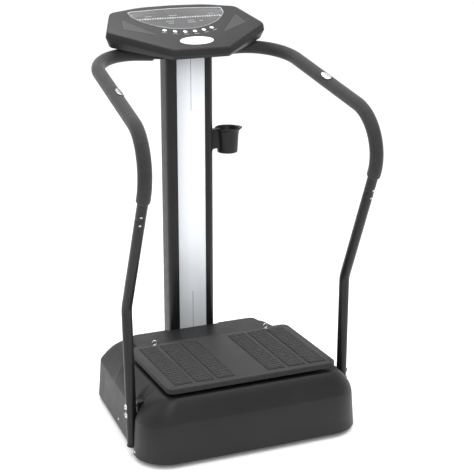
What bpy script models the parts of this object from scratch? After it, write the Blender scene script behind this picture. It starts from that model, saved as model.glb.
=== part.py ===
"""Vibration plate: a rocking foot platform on a floor base, with a column, a console and two handlebars.

Frame: metres, +Z up, +X to the user's right, +Y away from the user, who stands on the plate facing
the console. The origin is on the floor, below the middle of the whole object.
"""
import math

import bmesh
import bpy
from mathutils import Euler, Matrix, Vector

# ---- driving dimensions, metres ----------------------------------------------------------------
FIT_GAP = 0.0003            # between parts that touch
RUN_GAP = 0.0006            # round parts that turn inside others

BASE_BOTTOM = 0.014         # lower edge of the base cover
BASE_CREASE = 0.132         # where the upright wall turns into the shoulder
SHOULDER_TOP = 0.203        # top of the shoulder, under the plate
SHOULDER_LIFT = 0.013       # how far the middle of the shoulder rises above a flat slope
DECK_TOP = 0.220            # raised deck behind the plate
COVER_WALL = 0.003
WALL_DRAFT = 0.006          # how far the upright wall leans in by the crease
BASE_FRONT = -0.3255
BASE_REAR = 0.2885
BASE_HALF_WIDTH = 0.352     # at the front lobes
LOBE_RADIUS = 0.098
LOBE_END_Y = -0.2105
GROOVE_HALF_WIDTH = 0.3255  # the handlebar tubes stand in two upright grooves behind the lobes
GROOVE_START_Y = -0.2015
GROOVE_END_Y = -0.1610
WAIST_START = (0.3400, -0.148)
WAIST_MIDDLE = (0.3245, 0.0545)
REAR_HALF_WIDTH = 0.3065
REAR_RADIUS = 0.058
DECK_REAR = 0.198

PLATE_HALF_WIDTH = 0.2685
PLATE_FRONT = -0.2905
PLATE_REAR = 0.0625
PLATE_THICKNESS = 0.018
PLATE_TOP = 0.234
PLATE_CORNER = 0.022
STRIP_WIDTH = 0.0548
STRIP_PITCH = 0.0667
STRIP_COUNT = 3             # on each side
STRIP_FIRST_X = 0.0806      # centre of the innermost strip
STRIP_FRONT = -0.2685
STRIP_REAR = 0.0355
MAT_THICKNESS = 0.0006
RIDGE_COUNT = 23
RIDGE_HEIGHT = 0.0012
RING_X = 0.187              # the two strap rings near the plate's rear edge
RING_Y = 0.0455

FRAME_BOTTOM = 0.0205
FRAME_BAR = 0.030           # square tube of the base frame
FRAME_TOP = FRAME_BOTTOM + FRAME_BAR
RAIL_X = 0.200
FRONT_MEMBER_Y = -0.2675
BAR_MEMBER_Y = -0.1795       # carries the two handlebars
MOTOR_MEMBER_Y = -0.0905
MID_MEMBER_Y = 0.0245
REAR_MEMBER_Y = 0.2275
FOOT_X = 0.272
FOOT_FRONT_Y = -0.2635
FOOT_REAR_Y = 0.2295
FOOT_RADIUS = 0.019

PIVOT_Z = 0.165             # the plate rocks about the line x = 0 at this height
SHAFT_RADIUS = 0.010
CRANK_X = 0.130
CRANK_Z = 0.105
ROD_PIN_Z = 0.180
ROD_Y = -0.1155
ECCENTRIC_THROW = 0.0026
ECCENTRIC_RADIUS = 0.014
CRANK_RADIUS = 0.0075
BIG_END_CLEARANCE = 0.0085  # the loop is open here
MOTOR_X = -0.130
MOTOR_RADIUS = 0.048
BELT_Y = -0.0505
BELT_WIDTH = 0.012
DRIVEN_PULLEY_RADIUS = 0.045
MOTOR_PULLEY_RADIUS = 0.018

COLUMN_HALF_WIDTH = 0.0765
COLUMN_FRONT = 0.1935
COLUMN_REAR = 0.2665
COLUMN_WALL = 0.003
COLUMN_TOP = 1.150          # inside the console
COLUMN_NOTCH = 0.0105       # room round the column in the raised deck
PANEL_HALF_WIDTH = 0.0459
PANEL_RECESS = 0.0035
PANEL_TOP = 1.112

CONSOLE_FRONT = Vector((0.0, 0.0925, 1.132))   # middle of the face's front edge
CONSOLE_TILT = math.radians(20.5)
CONSOLE_EDGE_Y = 0.0043     # where the face's front edge starts
CONSOLE_DEPTH = 0.284
CONSOLE_SEAM = -0.018       # below the face, where the two shells meet
CONSOLE_WALL = 0.003
CONSOLE_FLARE = 0.006       # how far the sides swell out below the face's edge
CONSOLE_LEAN = 0.006        # how far they draw in again at the underside
CONSOLE_SKIRT = 0.0268      # depth at the front, which grows toward the rear
CONSOLE_SKIRT_SLOPE = 0.128
CONSOLE_REAR_SHARE = 0.53   # how nearly upright the rear side is
DISPLAY_ARC_CENTRE = 0.3005 # along the face from its front edge
DISPLAY_ARC_RADIUS = 0.1735
DISPLAY_HALF_WIDTH = 0.1535
DISPLAY_REAR = 0.263
BUTTON_ARC_RADIUS = 0.1908
BUTTON_STEP = math.radians(9.5)
BUTTON_COUNT = 6
BUTTON_RADIUS = 0.007
BADGE_Y = 0.0525
BADGE_HALF_SIZE = (0.054, 0.0235)

TUBE_RADIUS = 0.0155
TUBE_WALL = 0.0018
TUBE_SIDES = 10
FOAM_RADIUS = 0.0202
# corners of the right handlebar's centre line, each with its bend radius
BAR_CORNERS = (
    (0.062, 0.2315, 1.100, 0.0),
    (0.3083, 0.2617, 1.112, 0.146),
    (0.3496, -0.4064, 0.9684, 0.133),
    (0.3493, -0.1745, 0.4532, 0.069),
    (0.343, BAR_MEMBER_Y, 0.027, 0.0),
)
BAR_JOINT_Z = 0.756         # where the lower tube is joined to the upper one
FOAM_START_X = 0.105        # the foam starts beside the column and ends above the joint
FOAM_END_Z = 0.808
SENSOR_Y = -0.0775
CUP_CENTRE = (0.1355, 0.2285)
CUP_TOP = 0.857
CUP_DEPTH = 0.080
CUP_RADIUS = 0.0365
BAR_BOLT_HEIGHTS = (0.1255, 0.1515)
LUG_INNER_X = 0.290         # steel lug inside the cover that each handlebar is bolted to
LUG_OUTER_X = 0.3080
SCREW_HEIGHT = 0.039
SCREW_Y = -0.0125

# the power entry's opening in the rear wall: x from, x to, z from, z to
POWER_OPENING = (-0.210, -0.139, 0.060, 0.084)
POWER_FACE_Y = BASE_REAR - 0.0018    # the leaning wall is about here at this height
SWITCH_CENTRE_X = -0.150

BLACK_PLASTIC = (0.016, 0.016, 0.018)
DARK_PLASTIC = (0.030, 0.030, 0.032)
BLACK_PAINT = (0.010, 0.010, 0.011)
STEEL = (0.55, 0.56, 0.58)
CHROME = (0.80, 0.80, 0.82)
SILVER = (0.62, 0.65, 0.70)
RUBBER = (0.012, 0.012, 0.012)
FOAM = (0.045, 0.045, 0.047)
GREEN_BOARD = (0.02, 0.12, 0.05)
WHITE = (0.85, 0.85, 0.84)
COPPER = (0.70, 0.35, 0.18)
GLASS = (0.02, 0.02, 0.025)


# ---- helpers -----------------------------------------------------------------------------------
def clear_scene():
    for item in list(bpy.data.objects):
        bpy.data.objects.remove(item, do_unlink=True)


def collection(name):
    found = bpy.data.collections.get(name)
    if found is None:
        found = bpy.data.collections.new(name)
        bpy.context.scene.collection.children.link(found)
    return found


def finish(obj, colour, roughness=0.5, metallic=0.0):
    """Give the object its own plain material."""
    material = bpy.data.materials.new(obj.name)
    material.use_nodes = True
    shader = material.node_tree.nodes["Principled BSDF"]
    shader.inputs["Base Color"].default_value = (*colour, 1.0)
    shader.inputs["Roughness"].default_value = roughness
    shader.inputs["Metallic"].default_value = metallic
    obj.data.materials.clear()
    obj.data.materials.append(material)
    return obj


def new_object(name, data, cutter=False):
    obj = bpy.data.objects.new(name, data)
    collection("cutters" if cutter else "vibration_plate").objects.link(obj)
    if cutter:
        obj.hide_render = True
        obj.display_type = "WIRE"
    return obj


def mesh_object(name, build, cutter=False):
    """Make a mesh object from a function that fills a bmesh."""
    bm = bmesh.new()
    build(bm)
    bmesh.ops.recalc_face_normals(bm, faces=bm.faces)
    mesh = bpy.data.meshes.new(name)
    bm.to_mesh(mesh)
    bm.free()
    return new_object(name, mesh, cutter)


def box(name, low, high, cutter=False):
    low, high = Vector(low), Vector(high)

    def build(bm):
        size = high - low
        place = Matrix.Translation((low + high) / 2) @ Matrix.Diagonal((*size, 1.0))
        bmesh.ops.create_cube(bm, size=1.0, matrix=place)

    return mesh_object(name, build, cutter)


def cylinder(name, start, end, radius, end_radius=None, sides=20, cutter=False):
    start, end = Vector(start), Vector(end)
    along = end - start
    turn = Vector((0, 0, 1)).rotation_difference(along).to_matrix().to_4x4()

    def build(bm):
        bmesh.ops.create_cone(bm, cap_ends=True, segments=sides, radius1=radius,
                              radius2=radius if end_radius is None else end_radius,
                              depth=along.length, matrix=Matrix.Translation((start + end) / 2) @ turn)

    obj = mesh_object(name, build, cutter)
    obj.data.shade_smooth()
    obj.data.set_sharp_from_angle(angle=math.radians(35))
    return obj


def boolean(obj, other, operation):
    modifier = obj.modifiers.new(other.name, "BOOLEAN")
    modifier.operation = operation
    modifier.solver = "EXACT"
    modifier.object = other
    return obj


def cut(obj, *cutters):
    for cutter in cutters:
        boolean(obj, cutter, "DIFFERENCE")
    return obj


def join(obj, *others):
    for other in others:
        boolean(obj, other, "UNION")
    return obj


def box_tool(obj, low, high):
    return box(f"{obj.name}_tool_{len(obj.modifiers)}", low, high, cutter=True)


def cut_box(obj, low, high):
    return cut(obj, box_tool(obj, low, high))


def join_box(obj, low, high):
    return join(obj, box_tool(obj, low, high))


def cut_hole(obj, start, end, radius, sides=16):
    return cut(obj, cylinder(f"{obj.name}_tool_{len(obj.modifiers)}", start, end, radius,
                             sides=sides, cutter=True))


def join_cylinder(obj, start, end, radius, sides=20):
    return join(obj, cylinder(f"{obj.name}_tool_{len(obj.modifiers)}", start, end, radius,
                              sides=sides, cutter=True))


def corner_arc(before, corner, after, radius, segments):
    """Points of the arc that rounds one corner between two straight runs."""
    into, away = (before - corner).normalized(), (after - corner).normalized()
    half_angle = into.angle(away) / 2
    reach = radius / math.tan(half_angle)
    centre = corner + (into + away).normalized() * (radius / math.sin(half_angle))
    start = (corner + into * reach - centre).normalized()
    end = (corner + away * reach - centre).normalized()
    return [centre + start.slerp(end, step / segments) * radius for step in range(segments + 1)]


def rounded_outline(corners, segments=5):
    """Closed outline from (x, y, radius) corners; a corner with no radius stays a single point."""
    places = [Vector((x, y, 0.0)) for x, y, _ in corners]
    points = []
    for index, (_, _, radius) in enumerate(corners):
        corner = places[index]
        if radius == 0:
            points.append(corner)
            continue
        after = places[(index + 1) % len(places)]
        points += corner_arc(places[index - 1], corner, after, radius, segments)
    return [(point.x, point.y) for point in points]


def mirrored(half):
    """A closed outline from its right half, listed from front to rear; points at x = 0 are kept once."""
    other = [(-x, *rest) for x, *rest in reversed(half) if x > 0]
    return half + other


def loft(name, rings, cutter=False):
    """A closed solid through rings of equally many (x, y, z) points."""
    def build(bm):
        rows = [[bm.verts.new(point) for point in ring] for ring in rings]
        count = len(rows[0])
        for lower, upper in zip(rows, rows[1:]):
            for index in range(count):
                after = (index + 1) % count
                bm.faces.new((lower[index], lower[after], upper[after], upper[index]))
        bm.faces.new(list(reversed(rows[0])))
        bm.faces.new(rows[-1])

    return mesh_object(name, build, cutter)


def flat_solid(name, outlines, bottom, top, as_mesh=False, cutter=False):
    """A flat outline, with any holes in it, given a thickness."""
    curve = bpy.data.curves.new(name, "CURVE")
    curve.dimensions = "2D"
    curve.fill_mode = "BOTH"
    curve.extrude = (top - bottom) / 2
    for outline in outlines:
        spline = curve.splines.new("POLY")
        spline.points.add(len(outline) - 1)
        spline.use_cyclic_u = True
        for point, (x, y) in zip(spline.points, outline):
            point.co = (x, y, 0.0, 1.0)
    obj = new_object(name, curve, cutter)
    obj.location.z = (bottom + top) / 2
    return to_mesh(obj) if as_mesh or cutter else obj


def to_mesh(curve_object):
    """Swap a curve object for the welded mesh that it makes."""
    bpy.context.view_layer.update()
    evaluated = curve_object.evaluated_get(bpy.context.evaluated_depsgraph_get())
    mesh = bpy.data.meshes.new_from_object(evaluated)
    bm = bmesh.new()
    bm.from_mesh(mesh)
    bmesh.ops.remove_doubles(bm, verts=bm.verts, dist=0.00001)
    bmesh.ops.recalc_face_normals(bm, faces=bm.faces)
    bm.to_mesh(mesh)
    bm.free()
    name, cutter = curve_object.name, curve_object.hide_render
    place = curve_object.matrix_world.copy()
    bpy.data.objects.remove(curve_object, do_unlink=True)
    obj = new_object(name, mesh, cutter)
    obj.matrix_world = place
    return obj


def poly_tube(name, points, radius, sides_setting=3, caps=True):
    """A round bar along a list of points."""
    curve = bpy.data.curves.new(name, "CURVE")
    curve.dimensions = "3D"
    curve.bevel_depth = radius
    curve.bevel_resolution = sides_setting
    curve.render_resolution_u = 0
    curve.use_fill_caps = caps
    spline = curve.splines.new("POLY")
    spline.points.add(len(points) - 1)
    for place, point in zip(spline.points, points):
        place.co = (*point, 1.0)
    return new_object(name, curve)


def pipe(name, points, radius, wall):
    """A hollow tube along a list of points, open at both ends."""
    obj = to_mesh(poly_tube(name, points, radius, caps=False))
    shell = obj.modifiers.new("wall", "SOLIDIFY")
    shell.thickness = wall
    shell.offset = -1.0
    obj.data.shade_smooth()
    return obj


def turned(name, profile, centre, steps=24):
    """A turned shape: (radius, height) points down its outer side, spun about a vertical axis."""
    mesh = bpy.data.meshes.new(name)
    edges = [(index, index + 1) for index in range(len(profile) - 1)]
    mesh.from_pydata([(radius, 0.0, height) for radius, height in profile], edges, [])
    obj = new_object(name, mesh)
    obj.location = centre
    screw = obj.modifiers.new("turn", "SCREW")
    screw.steps = steps
    screw.render_steps = steps
    screw.use_merge_vertices = True
    screw.merge_threshold = 0.00001
    screw.use_smooth_shade = True
    return obj


def empty_at(name, place, turn=(0.0, 0.0, 0.0)):
    empty = bpy.data.objects.new(name, None)
    collection("vibration_plate").objects.link(empty)
    empty.location = place
    empty.rotation_euler = turn
    return empty


def parent_in_place(empty, objects):
    """Hang objects on an empty without moving them."""
    bpy.context.view_layer.update()
    inverse = empty.matrix_world.inverted()
    for obj in objects:
        obj.parent = empty
        obj.matrix_parent_inverse = inverse


def ring_outline(radius, count, centre=(0.0, 0.0)):
    angles = [math.tau * step / count for step in range(count)]
    return [(centre[0] + radius * math.cos(angle), centre[1] + radius * math.sin(angle)) for angle in angles]


# ---- base --------------------------------------------------------------------------------------
def base_ring(height, inset=0.0):
    """Outline of the base cover's upright wall."""
    half = [
        (0.0, BASE_FRONT + inset, 0.0),
        (0.16, BASE_FRONT + 0.001 + inset, 0.0),
        (BASE_HALF_WIDTH - inset, BASE_FRONT + 0.003 + inset, LOBE_RADIUS - inset),
        (BASE_HALF_WIDTH - inset, LOBE_END_Y, 0.0),
        (GROOVE_HALF_WIDTH - inset, GROOVE_START_Y, 0.0),
        (GROOVE_HALF_WIDTH - inset, GROOVE_END_Y, 0.0),
        (WAIST_START[0] - inset, WAIST_START[1], 0.0),
        (WAIST_MIDDLE[0] - inset, WAIST_MIDDLE[1], 0.0),
        (REAR_HALF_WIDTH - inset, BASE_REAR - inset, REAR_RADIUS - inset),
        (0.0, BASE_REAR - inset, 0.0),
    ]
    return [(x, y, height) for x, y in rounded_outline(mirrored(half))]


def shoulder_ring(height, inset=0.0):
    """Outline of the top of the shoulder, just under the plate's rim and round the rear deck."""
    front = PLATE_FRONT + 0.006 + inset
    rear = DECK_REAR + 0.012 - inset
    side = PLATE_HALF_WIDTH - inset
    half = [
        (0.0, front, 0.0),
        (0.16, front, 0.0),
        (side, front, 0.034),
        (side, LOBE_END_Y, 0.0),
        (side, GROOVE_START_Y, 0.0),
        (side, GROOVE_END_Y, 0.0),
        (side, WAIST_START[1], 0.0),
        (side, WAIST_MIDDLE[1], 0.0),
        (0.234 - inset, rear, 0.040),
        (0.0, rear, 0.0),
    ]
    return [(x, y, height) for x, y in rounded_outline(mirrored(half))]


def shoulder_middle(crease, top):
    """Ring part of the way up the shoulder, which is a little convex."""
    ring = []
    for low, high in zip(crease, top):
        middle = Vector(low).lerp(Vector(high), 0.45)
        ring.append((middle.x, middle.y, middle.z + SHOULDER_LIFT))
    return ring


def deck_ring(height, inset=0.0):
    """Outline of the raised deck between the plate and the column."""
    front = PLATE_REAR + 0.008 + inset
    corners = [
        (-0.238 + inset, front, 0.008),
        (0.238 - inset, front, 0.008),
        (0.2125 - inset, DECK_REAR - inset, 0.020),
        (-0.2125 + inset, DECK_REAR - inset, 0.020),
    ]
    return [(x, y, height) for x, y in rounded_outline(corners, 4)]


def make_base_cover():
    crease = base_ring(BASE_CREASE + 0.003, WALL_DRAFT + 0.004)
    top = shoulder_ring(SHOULDER_TOP)
    cover = loft("base_cover", [
        base_ring(BASE_BOTTOM),
        base_ring(BASE_CREASE - 0.004, WALL_DRAFT),
        crease,
        shoulder_middle(crease, top),
        top,
    ])
    deck = loft("base_cover_deck", [
        deck_ring(SHOULDER_TOP - 0.010),
        deck_ring(DECK_TOP - 0.004),
        deck_ring(DECK_TOP, 0.004),
    ], cutter=True)
    inner_crease = base_ring(BASE_CREASE + 0.001, COVER_WALL + WALL_DRAFT + 0.004)
    inner_top = shoulder_ring(SHOULDER_TOP - COVER_WALL, COVER_WALL)
    hollow = loft("base_cover_hollow", [
        base_ring(BASE_BOTTOM - 0.005, COVER_WALL),
        base_ring(BASE_CREASE - 0.005, COVER_WALL + WALL_DRAFT),
        inner_crease,
        shoulder_middle(inner_crease, inner_top),
        inner_top,
    ], cutter=True)
    join(cover, deck)
    cut(cover, hollow)
    cut_box(cover, (-0.236, PLATE_FRONT + 0.026, 0.15), (0.236, PLATE_REAR - 0.010, 0.26))
    notch_x = COLUMN_HALF_WIDTH + COLUMN_NOTCH
    hole_x = COLUMN_HALF_WIDTH + 0.0015
    hole_front = COLUMN_FRONT - 0.0015
    cut_box(cover, (-notch_x, hole_front, SHOULDER_TOP + 0.0005), (notch_x, COLUMN_REAR, 0.26))
    cut_box(cover, (-hole_x, hole_front, 0.10), (hole_x, COLUMN_REAR + 0.0015, 0.26))
    for side in (-1, 1):
        low_x, high_x = sorted((side * 0.25, side * 0.37))
        cut_box(cover, (low_x, BAR_MEMBER_Y - 0.0155, 0.1105), (high_x, BAR_MEMBER_Y + 0.0155, 0.1665))
        wall_x = side_wall_x(SCREW_Y)
        cut_hole(cover, (side * (wall_x - 0.02), SCREW_Y, SCREW_HEIGHT),
                 (side * (wall_x + 0.02), SCREW_Y, SCREW_HEIGHT), 0.0026, sides=12)
    low_x, high_x, low_z, high_z = POWER_OPENING
    cut_box(cover, (low_x, BASE_REAR - 0.02, low_z), (high_x, BASE_REAR + 0.02, high_z))
    return finish(cover, BLACK_PLASTIC, 0.45)


def side_wall_x(y):
    """Half width of the waist at the height of its side screws."""
    lean = WALL_DRAFT * (SCREW_HEIGHT - BASE_BOTTOM) / (BASE_CREASE - BASE_BOTTOM)
    share = (y - WAIST_START[1]) / (WAIST_MIDDLE[1] - WAIST_START[1])
    return WAIST_START[0] + (WAIST_MIDDLE[0] - WAIST_START[0]) * share - lean


def make_bottom_pan():
    outline = [(x, y) for x, y, _ in base_ring(0.0, COVER_WALL + 0.0030)]
    holes = []
    for x in (-FOOT_X, FOOT_X):
        holes += [ring_outline(0.0068, 16, (x, y)) for y in (FOOT_FRONT_Y, FOOT_REAR_Y)]
    pan = flat_solid("bottom_pan", [outline, *holes], FRAME_BOTTOM - 0.0015, FRAME_BOTTOM - FIT_GAP)
    return finish(pan, BLACK_PAINT, 0.6)


def make_base_frame():
    def member(y, half_length, depth=FRAME_BAR):
        return (-half_length, y - depth / 2, FRAME_BOTTOM), (half_length, y + depth / 2, FRAME_TOP)

    frame = box("base_frame", *member(FRONT_MEMBER_Y, 0.288))
    join_box(frame, *member(BAR_MEMBER_Y, LUG_OUTER_X))
    join_box(frame, *member(MOTOR_MEMBER_Y, RAIL_X))
    join_box(frame, *member(MID_MEMBER_Y, RAIL_X))
    join_box(frame, *member(REAR_MEMBER_Y, 0.284, 0.080))
    for side in (-1, 1):
        rail = (side * RAIL_X - FRAME_BAR / 2, side * RAIL_X + FRAME_BAR / 2)
        join_box(frame, (rail[0], FRONT_MEMBER_Y, FRAME_BOTTOM), (rail[1], REAR_MEMBER_Y, FRAME_TOP))
        lug = sorted((side * LUG_INNER_X, side * LUG_OUTER_X))
        join_box(frame, (lug[0], BAR_MEMBER_Y - 0.015, FRAME_BOTTOM), (lug[1], BAR_MEMBER_Y + 0.015, 0.166))
        pad = sorted((side * (LUG_OUTER_X - 0.002), side * 0.3275))
        join_box(frame, (pad[0], BAR_MEMBER_Y - 0.012, 0.112), (pad[1], BAR_MEMBER_Y + 0.012, 0.165))
        tab = sorted((side * RAIL_X, side * (side_wall_x(SCREW_Y) - COVER_WALL - 0.004)))
        join_box(frame, (tab[0], SCREW_Y - 0.008, FRAME_BOTTOM + 0.010),
                 (tab[1], SCREW_Y + 0.008, FRAME_TOP - 0.003))
        cut_hole(frame, (side * 0.27, SCREW_Y, SCREW_HEIGHT), (side * 0.34, SCREW_Y, SCREW_HEIGHT),
                 0.0023, sides=12)
        for z in BAR_BOLT_HEIGHTS:
            cut_hole(frame, (side * 0.28, BAR_MEMBER_Y, z), (side * 0.34, BAR_MEMBER_Y, z), 0.0043, sides=12)
        for y in (FOOT_FRONT_Y, FOOT_REAR_Y):
            cut_hole(frame, (side * FOOT_X, y, 0.01), (side * FOOT_X, y, 0.046), 0.0054, sides=16)
    return finish(frame, BLACK_PAINT, 0.4, 0.6)


def make_feet():
    """Rubber pads on threaded studs that screw up into the frame."""
    stud_top = 0.045
    pad_top = FRAME_BOTTOM - 0.0018
    profile = [(0.0, stud_top), (0.005, stud_top), (0.005, pad_top), (0.012, pad_top),
               (FOOT_RADIUS - 0.003, 0.012), (FOOT_RADIUS, 0.003), (FOOT_RADIUS - 0.0015, 0.0), (0.0, 0.0)]
    for side, x in (("left", -FOOT_X), ("right", FOOT_X)):
        for end, y in (("front", FOOT_FRONT_Y), ("rear", FOOT_REAR_Y)):
            finish(turned(f"{end}_{side}_foot", profile, (x, y, 0.0), steps=16), RUBBER, 0.8)


def make_power_entry():
    """Moulded module in the cover's rear wall: fuse cap, cord inlet and the switch's housing in one."""
    low_x, high_x, low_z, high_z = POWER_OPENING
    wall = POWER_FACE_Y
    middle_z = (low_z + high_z) / 2
    flange = 0.003
    entry = box("power_inlet", (low_x + FIT_GAP, wall - 0.026, low_z + FIT_GAP),
                (high_x - FIT_GAP, wall + 0.002, high_z - FIT_GAP))
    join_box(entry, (low_x - flange, wall + 0.0016, low_z - flange),
             (high_x + flange, wall + 0.0036, high_z + flange))
    fuse_x = low_x + 0.011
    join_cylinder(entry, (fuse_x, wall + 0.003, middle_z), (fuse_x, wall + 0.0075, middle_z), 0.006, sides=16)

    def cut_well(x, half_width, half_height, depth):
        cut_box(entry, (x - half_width, wall - depth, middle_z - half_height),
                (x + half_width, wall + 0.01, middle_z + half_height))

    inlet_x = low_x + 0.036
    cut_well(inlet_x, 0.0120, 0.0080, 0.015)
    for offset, raised in ((-0.007, -0.0015), (0.0, 0.0025), (0.007, -0.0015)):
        join_box(entry, (inlet_x + offset - 0.001, wall - 0.016, middle_z - 0.002 + raised),
                 (inlet_x + offset + 0.001, wall - 0.001, middle_z + 0.002 + raised))
    cut_well(SWITCH_CENTRE_X, 0.0060, 0.0090, 0.009)
    finish(entry, BLACK_PLASTIC, 0.4)
    make_rocker(SWITCH_CENTRE_X, wall, middle_z)


def make_rocker(x, wall, z):
    """The power switch's rocker turns a few degrees about a line across its housing."""
    half_height, back, front, dip = 0.0078, -0.0045, 0.0032, 0.0010
    corners = [(-half_height, back, 0.0), (half_height, back, 0.0), (half_height, front, 0.001),
               (0.0, dip, 0.0), (-half_height, front, 0.001)]
    profile = rounded_outline(corners)
    rocker = flat_solid("power_switch", [profile], -0.0054, 0.0054)
    # the outline's first axis becomes world Z and its second one world Y
    turn = Matrix(((0, 0, 1), (0, 1, 0), (-1, 0, 0))).to_4x4()
    rocker.matrix_world = Matrix.Translation((x, wall + 0.0002, z)) @ turn
    finish(rocker, (0.25, 0.02, 0.02), 0.4)


# ---- moving platform and its drive ----------------------------------------------------------------
def make_platform(pivot):
    outline = rounded_outline([
        (-PLATE_HALF_WIDTH, PLATE_FRONT, PLATE_CORNER), (PLATE_HALF_WIDTH, PLATE_FRONT, PLATE_CORNER),
        (PLATE_HALF_WIDTH, PLATE_REAR, PLATE_CORNER), (-PLATE_HALF_WIDTH, PLATE_REAR, PLATE_CORNER),
    ], 6)
    holes = [ring_outline(0.0034, 12, (x, RING_Y)) for x in (-RING_X, RING_X)]
    plate = flat_solid("vibration_plate", [outline, *holes], PLATE_TOP - PLATE_THICKNESS, PLATE_TOP)
    finish(plate, DARK_PLASTIC, 0.5)

    frame = make_platform_frame()
    shaft = cylinder("pivot_shaft", (0, -0.2775, PIVOT_Z), (0, 0.0405, PIVOT_Z), SHAFT_RADIUS)
    finish(shaft, STEEL, 0.25, 1.0)
    moving = [plate, frame, shaft]
    for side, across in (("left", -1), ("right", 1)):
        moving.append(make_grip_mat(f"{side}_grip_mat", across))
        moving.append(make_strap_ring(f"{side}_strap_ring", across * RING_X))
    pin = cylinder("rod_pin", (CRANK_X, ROD_Y - 0.019, ROD_PIN_Z), (CRANK_X, ROD_Y + 0.019, ROD_PIN_Z), 0.005)
    moving.append(finish(pin, STEEL, 0.25, 1.0))
    parent_in_place(pivot, moving)


def make_platform_frame():
    """Welded frame under the plate, with two ears on the pivot shaft and two lugs for the rod's pin."""
    bottom, top = 0.196, PLATE_TOP - PLATE_THICKNESS - FIT_GAP
    ear_rows = (-0.2275, -0.0095)
    frame = box("platform_frame", (-0.222, ear_rows[0] - 0.012, bottom), (0.222, ear_rows[0] + 0.012, top))
    join_box(frame, (-0.222, ear_rows[1] - 0.012, bottom), (0.222, ear_rows[1] + 0.012, top))
    for x in (-CRANK_X, CRANK_X):
        join_box(frame, (x - 0.012, ear_rows[0], bottom), (x + 0.012, ear_rows[1], top))
    for y in ear_rows:
        join_box(frame, (-0.018, y - 0.010, PIVOT_Z - 0.017), (0.018, y + 0.010, bottom + 0.005))
        cut_hole(frame, (0, y - 0.02, PIVOT_Z), (0, y + 0.02, PIVOT_Z), SHAFT_RADIUS + FIT_GAP)
    for y in (ROD_Y - 0.014, ROD_Y + 0.014):
        join_box(frame, (CRANK_X - 0.010, y - 0.003, ROD_PIN_Z - 0.010),
                 (CRANK_X + 0.010, y + 0.003, bottom + 0.005))
        cut_hole(frame, (CRANK_X, y - 0.01, ROD_PIN_Z), (CRANK_X, y + 0.01, ROD_PIN_Z), 0.005 + FIT_GAP)
    return finish(frame, BLACK_PAINT, 0.4, 0.6)


def make_grip_mat(name, across):
    """A thin rubber mat with three ribbed strips on it."""
    base = PLATE_TOP + FIT_GAP
    near = STRIP_FIRST_X - STRIP_WIDTH / 2
    far = near + (STRIP_COUNT - 1) * STRIP_PITCH + STRIP_WIDTH
    low_x, high_x = sorted((across * near, across * far))
    mat = box(name, (low_x, STRIP_FRONT, base), (high_x, STRIP_REAR, base + MAT_THICKNESS))
    for number in range(STRIP_COUNT):
        x = across * (STRIP_FIRST_X + number * STRIP_PITCH)
        join(mat, make_strip(f"{name}_strip_{number}", x, base))
    return finish(mat, RUBBER, 0.7)


def make_strip(name, x, base):
    """A strip with a row of low ridges across it."""
    pitch = (STRIP_REAR - STRIP_FRONT) / RIDGE_COUNT
    crest = 0.0012
    profile = [(STRIP_FRONT, MAT_THICKNESS / 2), (STRIP_REAR, MAT_THICKNESS / 2), (STRIP_REAR, crest)]
    for ridge in range(RIDGE_COUNT - 1, -1, -1):
        start = STRIP_FRONT + ridge * pitch
        profile.append((start + 0.50 * pitch, crest + RIDGE_HEIGHT))
        profile.append((start, crest))
    strip = flat_solid(name, [profile], -STRIP_WIDTH / 2, STRIP_WIDTH / 2, cutter=True)
    strip.matrix_world = Matrix(((0, 0, 1, x), (1, 0, 0, 0), (0, 1, 0, base), (0, 0, 0, 1)))
    return strip


def make_strap_ring(name, x):
    """Eye bolt for an exercise strap: its eye stands on the plate and its stem goes through."""
    eye_radius, wire = 0.0070, 0.0020
    centre_z = PLATE_TOP + eye_radius + wire + 0.0008

    def build(bm):
        around, section = 16, 6
        rings = []
        for step in range(around):
            angle = math.tau * step / around
            ring = []
            for corner in range(section):
                turn = math.tau * corner / section
                reach = eye_radius + wire * math.cos(turn)
                ring.append(bm.verts.new((x + reach * math.cos(angle), RING_Y + wire * math.sin(turn),
                                          centre_z + reach * math.sin(angle))))
            rings.append(ring)
        for step in range(around):
            ahead = rings[(step + 1) % around]
            for corner in range(section):
                after = (corner + 1) % section
                bm.faces.new((rings[step][corner], rings[step][after], ahead[after], ahead[corner]))

    ring = mesh_object(name, build)
    plate_bottom = PLATE_TOP - PLATE_THICKNESS

    def join_upright(low, high, radius, sides):
        join_cylinder(ring, (x, RING_Y, low), (x, RING_Y, high), radius, sides)

    join_upright(PLATE_TOP + FIT_GAP, PLATE_TOP + 0.0022, 0.0058, 16)
    join_upright(plate_bottom - 0.010, PLATE_TOP + 0.001, 0.0030, 12)
    join_upright(plate_bottom - 0.0065, plate_bottom - FIT_GAP, 0.0055, 6)
    return finish(ring, CHROME, 0.12, 1.0)


def make_bearing(name, x, y, z, shaft_radius):
    """A pillow block on the base frame: the housing, and the bearing's rings standing proud of it."""
    half_depth, half_width = 0.009, 0.022
    ring_depth = half_depth + 0.002
    pedestal = box(name, (x - half_width, y - half_depth, FRAME_TOP + FIT_GAP),
                   (x + half_width, y + half_depth, z))
    join_cylinder(pedestal, (x, y - half_depth, z), (x, y + half_depth, z), half_width)
    join_cylinder(pedestal, (x, y - ring_depth, z), (x, y + ring_depth, z), shaft_radius + 0.006)
    cut_hole(pedestal, (x, y - 0.02, z), (x, y + 0.02, z), shaft_radius + RUN_GAP)
    finish(pedestal, STEEL, 0.4, 0.9)


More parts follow.
